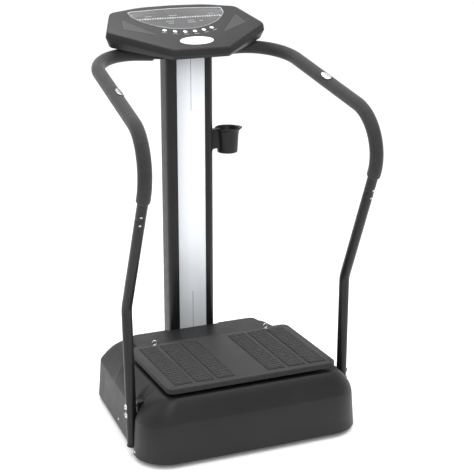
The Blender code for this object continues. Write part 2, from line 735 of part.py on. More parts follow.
def make_drive(crank_axis, rod_pivot, motor_axis):
    make_bearing("front_pivot_bearing", 0.0, FRONT_MEMBER_Y + 0.006, PIVOT_Z, SHAFT_RADIUS)
    make_bearing("rear_pivot_bearing", 0.0, MID_MEMBER_Y, PIVOT_Z, SHAFT_RADIUS)
    make_bearing("front_crank_bearing", CRANK_X, BAR_MEMBER_Y, CRANK_Z, CRANK_RADIUS)
    make_bearing("rear_crank_bearing", CRANK_X, MID_MEMBER_Y, CRANK_Z, CRANK_RADIUS)

    crank = cylinder("crank_shaft", (CRANK_X, -0.1955, CRANK_Z), (CRANK_X, 0.0385, CRANK_Z), CRANK_RADIUS)
    join_cylinder(crank, (CRANK_X, ROD_Y - 0.008, CRANK_Z + ECCENTRIC_THROW),
                  (CRANK_X, ROD_Y + 0.008, CRANK_Z + ECCENTRIC_THROW), ECCENTRIC_RADIUS)
    finish(crank, STEEL, 0.25, 1.0)
    driven = make_pulley("driven_pulley", CRANK_X, DRIVEN_PULLEY_RADIUS, CRANK_RADIUS, 28)
    parent_in_place(crank_axis, [crank, driven])
    parent_in_place(rod_pivot, [make_rod()])
    make_motor(motor_axis)
    make_belt()


def make_rod():
    """Connecting rod: a big end round the eccentric, a flat shank and a small end on the plate's pin."""
    half_depth, shank_half_width = 0.007, 0.008
    bore = ECCENTRIC_RADIUS + BIG_END_CLEARANCE
    rod = cylinder("connecting_rod", (CRANK_X, ROD_Y - half_depth, CRANK_Z),
                   (CRANK_X, ROD_Y + half_depth, CRANK_Z), bore + 0.006, sides=24)
    join_box(rod, (CRANK_X - shank_half_width, ROD_Y - half_depth + 0.0005, CRANK_Z + bore + 0.0035),
             (CRANK_X + shank_half_width, ROD_Y + half_depth - 0.0005, ROD_PIN_Z - 0.003))
    join_cylinder(rod, (CRANK_X, ROD_Y - half_depth + 0.0002, ROD_PIN_Z),
                  (CRANK_X, ROD_Y + half_depth - 0.0002, ROD_PIN_Z), 0.010)
    cut_hole(rod, (CRANK_X, ROD_Y - 0.02, CRANK_Z), (CRANK_X, ROD_Y + 0.02, CRANK_Z), bore, sides=24)
    cut_hole(rod, (CRANK_X, ROD_Y - 0.02, ROD_PIN_Z), (CRANK_X, ROD_Y + 0.02, ROD_PIN_Z), 0.005 + RUN_GAP)
    return finish(rod, STEEL, 0.4, 1.0)


def make_pulley(name, x, radius, bore, sides):
    def disc(suffix, half_depth, disc_radius, cutter):
        return cylinder(name + suffix, (x, BELT_Y - half_depth, CRANK_Z), (x, BELT_Y + half_depth, CRANK_Z),
                        disc_radius, sides=sides, cutter=cutter)

    pulley = disc("", 0.009, radius + 0.003, False)
    cut(pulley, disc("_groove", 0.007, radius + 0.010, True))
    join(pulley, disc("_core", 0.008, radius, True))
    cut_hole(pulley, (x, BELT_Y - 0.02, CRANK_Z), (x, BELT_Y + 0.02, CRANK_Z), bore + FIT_GAP)
    return finish(pulley, STEEL, 0.4, 1.0)


def make_motor(motor_axis):
    front, rear = -0.2105, -0.0775
    shaft_radius = 0.0055

    def on_axis(y):
        return MOTOR_X, y, CRANK_Z

    motor = cylinder("motor_housing", on_axis(front), on_axis(rear), MOTOR_RADIUS, sides=24)
    cut_hole(motor, on_axis(front + 0.006), on_axis(rear - 0.006), MOTOR_RADIUS - 0.005, sides=24)
    cut_hole(motor, on_axis(rear - 0.02), on_axis(rear + 0.01), shaft_radius + 0.0007)
    finish(motor, BLACK_PAINT, 0.4, 0.5)
    rotor = cylinder("motor_rotor", on_axis(front + 0.014), on_axis(rear - 0.016), 0.030, sides=20)
    join_cylinder(rotor, on_axis(front + 0.010), on_axis(BELT_Y + 0.012), shaft_radius)
    finish(rotor, COPPER, 0.4, 1.0)
    pulley = make_pulley("motor_pulley", MOTOR_X, MOTOR_PULLEY_RADIUS, shaft_radius, 20)
    parent_in_place(motor_axis, [rotor, pulley])

    low_y, high_y = front + 0.005, rear - 0.004
    inner, outer = MOTOR_RADIUS + 0.001, MOTOR_RADIUS + 0.006
    bracket = box("motor_bracket", (MOTOR_X - outer, low_y, FRAME_TOP + FIT_GAP),
                  (MOTOR_X + outer, high_y, FRAME_TOP + 0.004))
    for side in (-1, 1):
        low_x, high_x = sorted((MOTOR_X + side * inner, MOTOR_X + side * outer))
        join_box(bracket, (low_x, low_y, FRAME_TOP + 0.001), (high_x, high_y, CRANK_Z))
    finish(bracket, STEEL, 0.5, 0.8)


def make_belt():
    """The belt's two runs are the tangents to both pulleys."""
    span = CRANK_X - MOTOR_X
    lean = math.asin((DRIVEN_PULLEY_RADIUS - MOTOR_PULLEY_RADIUS) / span)

    def belt_outline(extra):
        points = []
        steps = 16
        for centre, radius, start, end in (
                (CRANK_X, DRIVEN_PULLEY_RADIUS, -math.pi / 2 - lean, math.pi / 2 + lean),
                (MOTOR_X, MOTOR_PULLEY_RADIUS, math.pi / 2 + lean, 1.5 * math.pi - lean)):
            for step in range(steps + 1):
                angle = start + (end - start) * step / steps
                reach = radius + extra
                points.append((centre + reach * math.cos(angle), reach * math.sin(angle)))
        return points

    outlines = [belt_outline(0.0028), belt_outline(0.0008)]
    belt = flat_solid("drive_belt", outlines, -BELT_WIDTH / 2, BELT_WIDTH / 2)
    belt.matrix_world = Matrix(((1, 0, 0, 0), (0, 0, -1, BELT_Y), (0, 1, 0, CRANK_Z), (0, 0, 0, 1)))
    finish(belt, RUBBER, 0.8)


def make_electronics():
    """Control board on standoffs behind the drive."""
    low, high = (0.04, 0.075, 0.0290), (0.16, 0.160, 0.0306)
    board = box("control_board", low, high)
    for x in (low[0] + 0.006, high[0] - 0.006):
        for y in (low[1] + 0.006, high[1] - 0.006):
            join_cylinder(board, (x, y, FRAME_BOTTOM), (x, y, low[2] + 0.0005), 0.003, sides=8)
    join_box(board, (0.115, 0.085, low[2] + 0.001), (0.150, 0.110, 0.050))
    join_cylinder(board, (0.075, 0.100, low[2] + 0.001), (0.075, 0.100, 0.060), 0.011, sides=16)
    for fin in range(5):
        x = 0.058 + fin * 0.008
        join_box(board, (x, 0.125, low[2] + 0.001), (x + 0.003, 0.152, 0.052))
    finish(board, GREEN_BOARD, 0.6)


# ---- column ----------------------------------------------------------------------------------------
def make_column():
    def profile(inset):
        return rounded_outline([
            (-COLUMN_HALF_WIDTH + inset, COLUMN_FRONT + inset, 0.020 - inset),
            (COLUMN_HALF_WIDTH - inset, COLUMN_FRONT + inset, 0.020 - inset),
            (COLUMN_HALF_WIDTH - inset, COLUMN_REAR - inset, 0.013 - inset),
            (-COLUMN_HALF_WIDTH + inset, COLUMN_REAR - inset, 0.013 - inset),
        ], 5)

    foot_bottom, foot_top = FRAME_TOP + FIT_GAP, FRAME_TOP + 0.006
    outlines = [profile(0.0), profile(COLUMN_WALL + PANEL_RECESS)]
    column = flat_solid("column", outlines, foot_bottom, COLUMN_TOP, as_mesh=True)
    join_box(column, (-0.100, COLUMN_FRONT - 0.006, foot_bottom), (0.100, COLUMN_REAR + 0.006, foot_top))
    cut_box(column, (-PANEL_HALF_WIDTH - FIT_GAP, COLUMN_FRONT - 0.01, DECK_TOP - 0.012),
            (PANEL_HALF_WIDTH + FIT_GAP, COLUMN_FRONT + PANEL_RECESS, PANEL_TOP + FIT_GAP))
    for side in (-1, 1):
        path = bar_path(side)
        start, ahead = path[0], path[1]
        back = start + (start - ahead).normalized() * 0.01
        cut_hole(column, back, start + (ahead - start).normalized() * 0.03, TUBE_RADIUS + 0.0008)
    for z in (CUP_TOP - 0.028, CUP_TOP - 0.054):
        cut_hole(column, (COLUMN_HALF_WIDTH - 0.012, CUP_CENTRE[1], z),
                 (COLUMN_HALF_WIDTH + 0.01, CUP_CENTRE[1], z), 0.0023, sides=12)
    finish(column, BLACK_PAINT, 0.35)

    panel = box("column_panel", (-PANEL_HALF_WIDTH, COLUMN_FRONT + 0.0014, DECK_TOP - 0.0115),
                (PANEL_HALF_WIDTH, COLUMN_FRONT + PANEL_RECESS - FIT_GAP, PANEL_TOP))
    finish(panel, SILVER, 0.35, 1.0)


def make_cup_holder():
    x, y = CUP_CENTRE
    base = CUP_TOP - CUP_DEPTH
    low, rim = CUP_RADIUS - 0.004, CUP_RADIUS + 0.0035
    wall = 0.0025
    profile = [(0.0, wall), (low - wall, wall), (CUP_RADIUS - wall, CUP_DEPTH - 0.006),
               (CUP_RADIUS, CUP_DEPTH), (rim, CUP_DEPTH), (rim + 0.001, CUP_DEPTH - 0.002),
               (rim, CUP_DEPTH - 0.004), (CUP_RADIUS + 0.0004, CUP_DEPTH - 0.0065), (low, 0.0), (0.0, 0.0)]
    cup = turned("cup_holder", profile, (x, y, base), steps=24)
    side = COLUMN_HALF_WIDTH + FIT_GAP
    wall_x = x - CUP_RADIUS + 0.005
    join_box(cup, (side, y - 0.015, base + 0.012), (side + 0.004, y + 0.015, CUP_TOP - 0.010))
    join_box(cup, (side, y - 0.009, base + 0.016), (wall_x, y + 0.009, CUP_TOP - 0.010))
    cut(cup, cylinder("cup_inside", (x, y, base + wall), (x, y, CUP_TOP + 0.01), low - wall + FIT_GAP,
                      CUP_RADIUS - wall + FIT_GAP * 2, sides=24, cutter=True))
    finish(cup, BLACK_PLASTIC, 0.45)


# ---- handlebars ------------------------------------------------------------------------------------
def bar_path(side, step=0.038):
    """Centre line of one handlebar from the column to the floor end; side is 1 for the right one."""
    corners = [Vector((side * x, y, z)) for x, y, z, _ in BAR_CORNERS]
    points = [corners[0]]
    for index in range(1, len(corners) - 1):
        radius = BAR_CORNERS[index][3]
        before, corner, after = corners[index - 1], corners[index], corners[index + 1]
        turn = math.pi - (before - corner).angle(after - corner)
        segments = max(2, round(radius * turn / step))
        points += corner_arc(before, corner, after, radius, segments)
    points.append(corners[-1])
    return points


def point_at_height(path, height):
    """The point where the descending part of the path reaches a height."""
    for upper, lower in zip(path[-1::-1][1:], path[-1::-1]):
        if lower.z <= height <= upper.z:
            return lower.lerp(upper, (height - lower.z) / (upper.z - lower.z))
    raise ValueError(height)


def from_x(path, start_x):
    """The path from where it is this far out from the middle plane."""
    for index, (near, far) in enumerate(zip(path, path[1:])):
        if abs(near.x) < start_x <= abs(far.x):
            share = (start_x - abs(near.x)) / (abs(far.x) - abs(near.x))
            return [near.lerp(far, share)] + path[index + 1:]
    raise ValueError(start_x)


def stretch(path, top=None, bottom=None):
    """The part of a path below a height or above a height."""
    points = list(path)
    if bottom is not None:
        points = [point for point in points if point.z > bottom + 0.004] + [point_at_height(path, bottom)]
    if top is not None:
        points = [point_at_height(path, top)] + [point for point in points if point.z < top - 0.004]
    return points


def make_handlebar(side, across):
    path = bar_path(across)
    upper = pipe(f"{side}_upper_tube", stretch(path, bottom=BAR_JOINT_Z + FIT_GAP), TUBE_RADIUS, TUBE_WALL)
    finish(upper, BLACK_PAINT, 0.3)
    lower = pipe(f"{side}_lower_tube", stretch(path, top=BAR_JOINT_Z - FIT_GAP), TUBE_RADIUS, TUBE_WALL)
    join_spigot(lower, path)
    for z in BAR_BOLT_HEIGHTS:
        x = across * BAR_CORNERS[-1][0]
        cut_hole(lower, (x - 0.03, BAR_MEMBER_Y, z), (x + 0.03, BAR_MEMBER_Y, z), 0.0043, sides=12)
    finish(lower, BLACK_PAINT, 0.3)

    foam_bore = TUBE_RADIUS / math.cos(math.pi / TUBE_SIDES) + FIT_GAP
    foam_path = from_x(stretch(path, bottom=FOAM_END_Z), FOAM_START_X)
    foam = pipe(f"{side}_foam_grip", foam_path, FOAM_RADIUS, FOAM_RADIUS - foam_bore)
    make_sensor(side, across, path, foam)
    finish(foam, FOAM, 0.85)

    make_bar_bolts(side, across)


def join_spigot(lower, path):
    """The lower tube's top end is drawn down to plug into the upper tube."""
    joint = point_at_height(path, BAR_JOINT_Z)
    down = (point_at_height(path, BAR_JOINT_Z - 0.03) - joint).normalized()
    spigot_radius = (TUBE_RADIUS - TUBE_WALL) * math.cos(math.pi / TUBE_SIDES) - FIT_GAP
    join_cylinder(lower, joint - down * 0.030, joint + down * 0.004, spigot_radius, sides=12)
    join_cylinder(lower, joint + down * 0.001, joint + down * 0.004, TUBE_RADIUS - TUBE_WALL / 2, sides=12)
    cut_hole(lower, joint - down * 0.04, joint + down * 0.010, spigot_radius - TUBE_WALL, sides=12)


def make_sensor(side, across, path, foam):
    """Hand pulse sensor: an oval housing let into the foam, with two plates on top."""
    start, end = [(a, b) for a, b in zip(path, path[1:]) if a.y >= SENSOR_Y > b.y][0]
    centre = start.lerp(end, (start.y - SENSOR_Y) / (start.y - end.y))
    along = (end - start).normalized()
    outward = Vector((-across * 0.33, 0.0, 0.94))
    outward = (outward - along * outward.dot(along)).normalized()
    sideways = outward.cross(along)
    place = Matrix((along, sideways, outward)).transposed().to_4x4()
    place.translation = centre

    def oval(half_length, half_width, gap=0.0, half=0):
        points = [(x * half_length, y * half_width) for x, y in ring_outline(1.0, 24)]
        if half == 0:
            return points
        points = [(x, y) for x, y in points if x * half > gap]
        points.sort(key=lambda point: half * point[1])
        edge = half * gap
        reach = half * half_width * math.sqrt(1 - (gap / half_length) ** 2)
        return [(edge, -reach), *points, (edge, reach)]

    def placed(obj):
        obj.matrix_world = place @ obj.matrix_world
        return obj

    cutter = flat_solid(f"{side}_sensor_recess", [oval(0.0275, 0.0138)], 0.0105, 0.030, cutter=True)
    cut(foam, placed(cutter))
    housing_top = 0.0215
    outline = oval(0.0270, 0.0133)
    housing = flat_solid(f"{side}_sensor_housing", [outline], TUBE_RADIUS + FIT_GAP, housing_top)
    bpy.context.view_layer.update()
    finish(placed(housing), BLACK_PLASTIC, 0.4)
    for end, half in (("front", 1), ("rear", -1)):
        name = f"{side}_{end}_sensor_plate"
        outline = oval(0.0245, 0.0112, 0.0016, half)
        plate = flat_solid(name, [outline], housing_top + FIT_GAP, housing_top + 0.001)
        bpy.context.view_layer.update()
        finish(placed(plate), CHROME, 0.15, 1.0)


def make_bar_bolts(side, across):
    """Two bolts go through the tube into one nut plate behind the frame's lug."""
    path = bar_path(across)
    inside = LUG_INNER_X - FIT_GAP
    plate = sorted((across * (inside - 0.005), across * inside))
    bolts = box(f"{side}_bar_bolts", (plate[0], BAR_MEMBER_Y - 0.009, BAR_BOLT_HEIGHTS[0] - 0.009),
                (plate[1], BAR_MEMBER_Y + 0.009, BAR_BOLT_HEIGHTS[1] + 0.009))
    for z in BAR_BOLT_HEIGHTS:
        outside = abs(point_at_height(path, z).x) + TUBE_RADIUS + 0.0008
        for start_x, end_x, radius, sides in ((inside - 0.002, outside + 0.001, 0.0038, 12),
                                              (outside, outside + 0.005, 0.0078, 16)):
            join_cylinder(bolts, (across * start_x, BAR_MEMBER_Y, z), (across * end_x, BAR_MEMBER_Y, z),
                          radius, sides)
    finish(bolts, CHROME, 0.2, 1.0)


# ---- console, in the frame of its sloping face: x across, y up the face, z out of it ------------------
def console_outline(inset=0.0, height=0.0):
    """Outline at a height against the face; below it the front and sides stand upright in the world."""
    forward = -height * math.tan(CONSOLE_TILT)
    rear = CONSOLE_DEPTH - inset - forward * CONSOLE_REAR_SHARE
    half = [
        (0.0, CONSOLE_EDGE_Y + inset * 0.5 - forward, 0.0),
        (0.0905 - inset * 0.3, CONSOLE_EDGE_Y + inset * 0.5 - forward, 0.014),
        (0.256 - inset, 0.136 - forward, 0.018),
        (0.2065 - inset * 0.7, rear - 0.0285, 0.024),
        (0.108, rear - 0.0045, 0.0),
        (0.0, rear, 0.0),
    ]
    return [(x, y, height) for x, y in rounded_outline(mirrored(half), 4)]


def console_underside(inset):
    """The underside's outline; it is less steep than the face."""
    outline = console_outline(inset, -CONSOLE_SKIRT)
    return [(x, y, -CONSOLE_SKIRT - CONSOLE_SKIRT_SLOPE * y) for x, y, _ in outline]


def display_outline(inset):
    """A straight rear edge and a round front edge."""
    radius = DISPLAY_ARC_RADIUS - inset
    half_width = DISPLAY_HALF_WIDTH - inset
    limit = math.asin(half_width / radius)
    steps = 10
    points = []
    for step in range(steps + 1):
        angle = -limit + 2 * limit * step / steps
        points.append((radius * math.sin(angle), DISPLAY_ARC_CENTRE - radius * math.cos(angle), 0.0))
    rear = DISPLAY_REAR - inset
    points += [(half_width + 0.003, rear - 0.011, 0.008), (0.0, rear, 0.0),
               (-half_width - 0.003, rear - 0.011, 0.008)]
    return rounded_outline(points, 4)


def button_places():
    for number in range(BUTTON_COUNT):
        angle = (number - (BUTTON_COUNT - 1) / 2) * BUTTON_STEP
        yield BUTTON_ARC_RADIUS * math.sin(angle), DISPLAY_ARC_CENTRE - BUTTON_ARC_RADIUS * math.cos(angle)


def make_console(face):
    parts = []
    upper = loft("console_upper_shell", [
        console_outline(-CONSOLE_FLARE, CONSOLE_SEAM),
        console_outline(-CONSOLE_FLARE * 0.7, -0.0065),
        console_outline(CONSOLE_FLARE * 0.5),
    ])
    hollow = loft("console_upper_hollow", [
        console_outline(CONSOLE_WALL, CONSOLE_SEAM - 0.01),
        console_outline(CONSOLE_WALL + CONSOLE_FLARE, -CONSOLE_WALL),
    ], cutter=True)
    window = flat_solid("display_window", [display_outline(-FIT_GAP)], -0.010, 0.010, cutter=True)
    cut(upper, hollow, window)
    tools = [hollow, window]
    for x, y in button_places():
        cut_hole(upper, (x, y, -0.01), (x, y, 0.01), BUTTON_RADIUS + 0.0005)
        tools.append(upper.modifiers[-1].object)
    parts.append(finish(upper, BLACK_PLASTIC, 0.4))

    lower = loft("console_lower_shell", [
        console_underside(CONSOLE_LEAN),
        console_outline(-CONSOLE_FLARE, CONSOLE_SEAM - FIT_GAP),
    ])
    cavity = loft("console_lower_cavity", [
        [(x, y, z + CONSOLE_WALL) for x, y, z in console_underside(CONSOLE_LEAN + CONSOLE_WALL)],
        console_outline(CONSOLE_WALL - CONSOLE_FLARE, CONSOLE_SEAM + 0.004),
    ], cutter=True)
    cut(lower, cavity)
    tools.append(cavity)
    parts.append(finish(lower, BLACK_PLASTIC, 0.45))

    bezel = flat_solid("display_bezel", [display_outline(0.0), display_outline(0.0030)], -0.0032, 0.0007)
    parts.append(finish(bezel, CHROME, 0.25, 1.0))
    lens = flat_solid("display_lens", [display_outline(0.0030 + FIT_GAP)], -0.0032, -0.0004)
    parts.append(finish(lens, GLASS, 0.1))
    half_length, half_width = BADGE_HALF_SIZE
    oval = [(x * half_length, BADGE_Y + y * half_width) for x, y in ring_outline(1.0, 32)]
    badge = flat_solid("badge", [oval], FIT_GAP, 0.0016)
    parts.append(finish(badge, WHITE, 0.3))
    board = box("display_board", (-0.125, 0.085, -0.0130), (0.125, 0.235, -0.0114))
    parts.append(finish(board, GREEN_BOARD, 0.6))
    parent_local(face, parts + tools)

    turn = Euler((CONSOLE_TILT, 0, 0)).to_matrix().to_4x4()
    for number, (x, y) in enumerate(button_places(), start=1):
        profile = [(0.0, 0.0022), (BUTTON_RADIUS - 0.0015, 0.0020), (BUTTON_RADIUS, 0.0010),
                   (BUTTON_RADIUS, -0.0090), (0.0, -0.0090)]
        button = turned(f"button_{number}", profile, (0, 0, 0), steps=16)
        button.matrix_world = Matrix.Translation(CONSOLE_FRONT) @ turn @ Matrix.Translation((x, y, 0.0))
        finish(button, CHROME, 0.25, 1.0)

    # the column's hole is upright, so it is cut in world space
    hole_x = COLUMN_HALF_WIDTH + 0.001
    cut(lower, box("console_column_hole", (-hole_x, COLUMN_FRONT - 0.001, 1.0),
                   (hole_x, COLUMN_REAR + 0.001, COLUMN_TOP + 0.001), cutter=True))


def parent_local(empty, objects):
    """Hang objects on an empty so that their own coordinates are read in its frame."""
    for obj in objects:
        obj.parent = empty


def main():
    clear_scene()
    pivot = empty_at("platform_pivot", (0, ROD_Y, PIVOT_Z))
    crank_axis = empty_at("crank_axis", (CRANK_X, ROD_Y, CRANK_Z))
    rod_pivot = empty_at("rod_pivot", (CRANK_X, ROD_Y, ROD_PIN_Z))
    motor_axis = empty_at("motor_axis", (MOTOR_X, ROD_Y, CRANK_Z))
    console_face = empty_at("console_face", CONSOLE_FRONT, (CONSOLE_TILT, 0, 0))

    make_base_cover()
    make_bottom_pan()
    make_base_frame()
    make_feet()
    make_power_entry()
    make_platform(pivot)
    make_drive(crank_axis, rod_pivot, motor_axis)
    make_electronics()
    make_column()
    make_cup_holder()
    for side, across in (("left", -1), ("right", 1)):
        make_handlebar(side, across)
    make_console(console_face)


main()
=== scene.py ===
"""Looks of a standing vibration plate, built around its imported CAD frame.

Metres, +Z up, +Y away from the person who stands on the plate, +X to that person's right.
"""
import math

import bmesh
import bpy
from mathutils import Euler, Matrix, Vector


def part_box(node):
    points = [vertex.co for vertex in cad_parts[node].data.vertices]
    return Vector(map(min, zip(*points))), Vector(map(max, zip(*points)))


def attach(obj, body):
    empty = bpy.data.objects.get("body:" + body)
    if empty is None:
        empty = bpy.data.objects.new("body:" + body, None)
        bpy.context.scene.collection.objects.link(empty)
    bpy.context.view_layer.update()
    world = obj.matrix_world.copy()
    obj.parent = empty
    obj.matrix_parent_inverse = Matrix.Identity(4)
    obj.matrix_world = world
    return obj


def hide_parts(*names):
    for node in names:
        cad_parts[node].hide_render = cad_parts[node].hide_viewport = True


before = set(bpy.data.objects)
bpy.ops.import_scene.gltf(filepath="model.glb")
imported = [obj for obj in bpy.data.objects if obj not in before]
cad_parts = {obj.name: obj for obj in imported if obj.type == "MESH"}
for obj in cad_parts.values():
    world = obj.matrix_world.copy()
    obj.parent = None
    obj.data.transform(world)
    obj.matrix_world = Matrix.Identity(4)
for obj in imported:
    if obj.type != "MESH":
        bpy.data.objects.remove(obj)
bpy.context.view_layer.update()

SIDES = (("left", -1), ("right", 1))

# ---- sizes, as in the CAD ------------------------------------------------------------------------
BASE_BOTTOM, BASE_CREASE, SHOULDER_TOP, DECK_TOP = 0.014, 0.132, 0.203, 0.220
WALL_DRAFT = 0.006
SHOULDER_LIFT = 0.013      # how far the middle of the shoulder rises above a flat slope
COVER_WALL = 0.003
BASE_FRONT, BASE_REAR, DECK_REAR = -0.3255, 0.2885, 0.198
BASE_HALF_WIDTH, GROOVE_HALF_WIDTH, REAR_HALF_WIDTH = 0.352, 0.3255, 0.3065
LOBE_RADIUS, REAR_RADIUS = 0.098, 0.058
LOBE_END_Y, GROOVE_START_Y, GROOVE_END_Y = -0.2105, -0.2015, -0.1610
WAIST_START, WAIST_MIDDLE = (0.3400, -0.148), (0.3245, 0.0545)
SCREW_HEIGHT, SCREW_Y = 0.039, -0.0125

PLATE_HALF_WIDTH, PLATE_FRONT, PLATE_REAR = 0.2685, -0.2905, 0.0625
PLATE_THICKNESS, PLATE_TOP, PLATE_CORNER = 0.018, 0.234, 0.022
STRIP_WIDTH, STRIP_PITCH, STRIP_COUNT, STRIP_FIRST_X = 0.0548, 0.0667, 3, 0.0806
STRIP_FRONT, STRIP_REAR = -0.2685, 0.0355
RIDGE_COUNT, RIDGE_HEIGHT, RIDGE_WAVES = 23, 0.0019, 3.0
RING_X, RING_Y, EYE_RADIUS, EYE_WIRE = 0.187, 0.0455, 0.0070, 0.0020

COLUMN_HALF_WIDTH, COLUMN_FRONT, COLUMN_REAR, COLUMN_TOP = 0.0765, 0.1935, 0.2665, 1.150
COLUMN_NOTCH = 0.0105      # room round the column in the raised deck
PANEL_HALF_WIDTH, PANEL_RECESS = 0.0459, 0.0035
PANEL_BOTTOM, PANEL_TOP = DECK_TOP - 0.0115, 1.112

TUBE_RADIUS, FOAM_RADIUS = 0.0155, 0.0202
BAR_CORNERS = (            # x, y, z and bend radius, from the column to the floor end
    (0.062, 0.2315, 1.100, 0.0),
    (0.3083, 0.2617, 1.112, 0.146),
    (0.3496, -0.4064, 0.9684, 0.133),
    (0.3493, -0.1745, 0.4532, 0.069),
    (0.343, -0.1795, 0.027, 0.0),
)
BAR_JOINT_Z, FOAM_END_Z, FOAM_START_X, SENSOR_Y = 0.756, 0.808, 0.105, -0.0775
BAR_BOLT_HEIGHTS = (0.1255, 0.1515)

CUP_CENTRE, CUP_TOP, CUP_DEPTH, CUP_RADIUS = (0.1355, 0.2285), 0.857, 0.080, 0.0365
CUP_WALL, CUP_TAPER, CUP_LIP = 0.0025, 0.004, 0.0068

CONSOLE_FRONT, CONSOLE_TILT = Vector((0.0, 0.0925, 1.132)), math.radians(20.5)
CONSOLE_EDGE_Y, CONSOLE_DEPTH, CONSOLE_SEAM = 0.0075, 0.284, -0.018
CONSOLE_FLARE, CONSOLE_LEAN = 0.006, 0.006     # its sides swell below the face's edge, then draw in again
CONSOLE_SKIRT, CONSOLE_SKIRT_SLOPE, CONSOLE_REAR_SHARE = 0.0300, 0.128, 0.53
DISPLAY_ARC_CENTRE, DISPLAY_ARC_RADIUS, DISPLAY_HALF_WIDTH, DISPLAY_REAR = 0.3005, 0.1735, 0.1535, 0.263
BUTTON_ARC_RADIUS, BUTTON_STEP, BUTTON_COUNT, BUTTON_RADIUS = 0.1908, math.radians(9.5), 6, 0.007
BADGE_Y, BADGE_HALF_LENGTH, BADGE_HALF_WIDTH = 0.0525, 0.054, 0.0235

# ---- camera --------------------------------------------------------------------------------------
CAMERA_PLACE = (-1.51388, -3.63926, 1.77786)
CAMERA_TURN = math.radians(23.5115)
CAMERA_PITCH = math.radians(16.98)
CAMERA_LENS = 103.28


# ---- materials; a node or socket gives its tree as id_data ----------------------------------------
def drive(shader, name, value):
    shader.id_data.links.new(value, shader.inputs[name])


def noise(place, scale, detail=3.0, stretch=None):
    """Noise whose features are about 1 / scale metres; stretch squeezes it along some axes."""
    tree = place.id_data
    if stretch:
        mapping = tree.nodes.new("ShaderNodeMapping")
        mapping.inputs["Scale"].default_value = stretch
        tree.links.new(place, mapping.inputs["Vector"])
        place = mapping.outputs["Vector"]
    made = tree.nodes.new("ShaderNodeTexNoise")
    made.inputs["Scale"].default_value = scale
    made.inputs["Detail"].default_value = detail
    tree.links.new(place, made.inputs["Vector"])
    return made.outputs["Fac"]


def ranged(value, low, high, from_low=0.3, from_high=0.7):
    """The value moved from one range to another, and held inside it."""
    made = value.id_data.nodes.new("ShaderNodeMapRange")
    for name, number in (("From Min", from_low), ("From Max", from_high), ("To Min", low), ("To Max", high)):
        made.inputs[name].default_value = number
    drive(made, "Value", value)
    return made.outputs["Result"]


def blended(factor, first, second):
    """A colour that goes from the first to the second as the factor goes from 0 to 1."""
    made = factor.id_data.nodes.new("ShaderNodeMix")
    made.data_type = "RGBA"
    drive(made, "Factor", factor)
    for socket, colour in (("A", first), ("B", second)):
        target = next(s for s in made.inputs if s.name == socket and s.type == "RGBA")
        if isinstance(colour, tuple):
            target.default_value = (*colour, 1.0)
        else:
            made.id_data.links.new(colour, target)
    return next(s for s in made.outputs if s.type == "RGBA")


def scaled(colour, factor):
    return tuple(part * factor for part in colour)


def toned(place, scale, colour, dark, light):
    """The colour, drifting between a darker and a lighter tone."""
    return blended(ranged(noise(place, scale), 0.0, 1.0), scaled(colour, dark), scaled(colour, light))


def worn_edges(place, strength, low, high):
    """Up to the strength on outer edges, and 0 elsewhere."""
    geometry = place.id_data.nodes.new("ShaderNodeNewGeometry")
    return ranged(geometry.outputs["Pointiness"], 0.0, strength, low, high)


def along_axis(place, axis, low, high):
    """From 0 to 1 between two places along an axis."""
    split = place.id_data.nodes.new("ShaderNodeSeparateXYZ")
    drive(split, "Vector", place)
    return ranged(split.outputs[axis], 0.0, 1.0, low, high)


def add_bump(shader, height, distance, strength=1.0, below=None):
    bump = shader.id_data.nodes.new("ShaderNodeBump")
    bump.inputs["Distance"].default_value = distance
    bump.inputs["Strength"].default_value = strength
    drive(bump, "Height", height)
    if below is not None:
        drive(bump, "Normal", below)
    drive(shader, "Normal", bump.outputs["Normal"])
    return bump.outputs["Normal"]


def blank_material(name, colour, roughness, metallic=0.0, **values):
    """A material with plain values, its shader and object coordinates."""
    material = bpy.data.materials.new(name)
    material.use_nodes = True
    shader = material.node_tree.nodes["Principled BSDF"]
    shader.inputs["Base Color"].default_value = (*colour, 1.0)
    shader.inputs["Roughness"].default_value = roughness
    shader.inputs["Metallic"].default_value = metallic
    for socket, value in values.items():
        shader.inputs[socket.replace("_", " ")].default_value = value
    return material, shader, material.node_tree.nodes.new("ShaderNodeTexCoord").outputs["Object"]


def moulded_plastic(name, colour, roughness):
    """Injection-moulded plastic: fine spark-eroded grain, slow tone changes, and slightly paler edges."""
    material, shader, place = blank_material(name, colour, roughness, Specular_IOR_Level=0.26)
    tone = toned(place, 6.0, colour, 0.90, 1.12)
    drive(shader, "Base Color", blended(worn_edges(place, 0.5, 0.52, 0.60), tone, scaled(colour, 2.2)))
    drive(shader, "Roughness", ranged(noise(place, 22.0, 5.0), roughness - 0.02, roughness + 0.03))
    add_bump(shader, noise(place, 1300.0, 2.0), 0.00006)
    return material


def powder_coat(name, colour, roughness):
    """Black powder coat: low orange-peel ripple under a satin gloss."""
    material, shader, place = blank_material(name, colour, roughness, Specular_IOR_Level=0.25,
                                             Coat_Weight=0.10, Coat_Roughness=0.22)
    drive(shader, "Base Color", toned(place, 9.0, colour, 0.88, 1.15))
    drive(shader, "Coat Normal", add_bump(shader, noise(place, 260.0, 2.0), 0.00010))
    drive(shader, "Roughness", ranged(noise(place, 40.0), roughness - 0.04, roughness + 0.05))
    return material


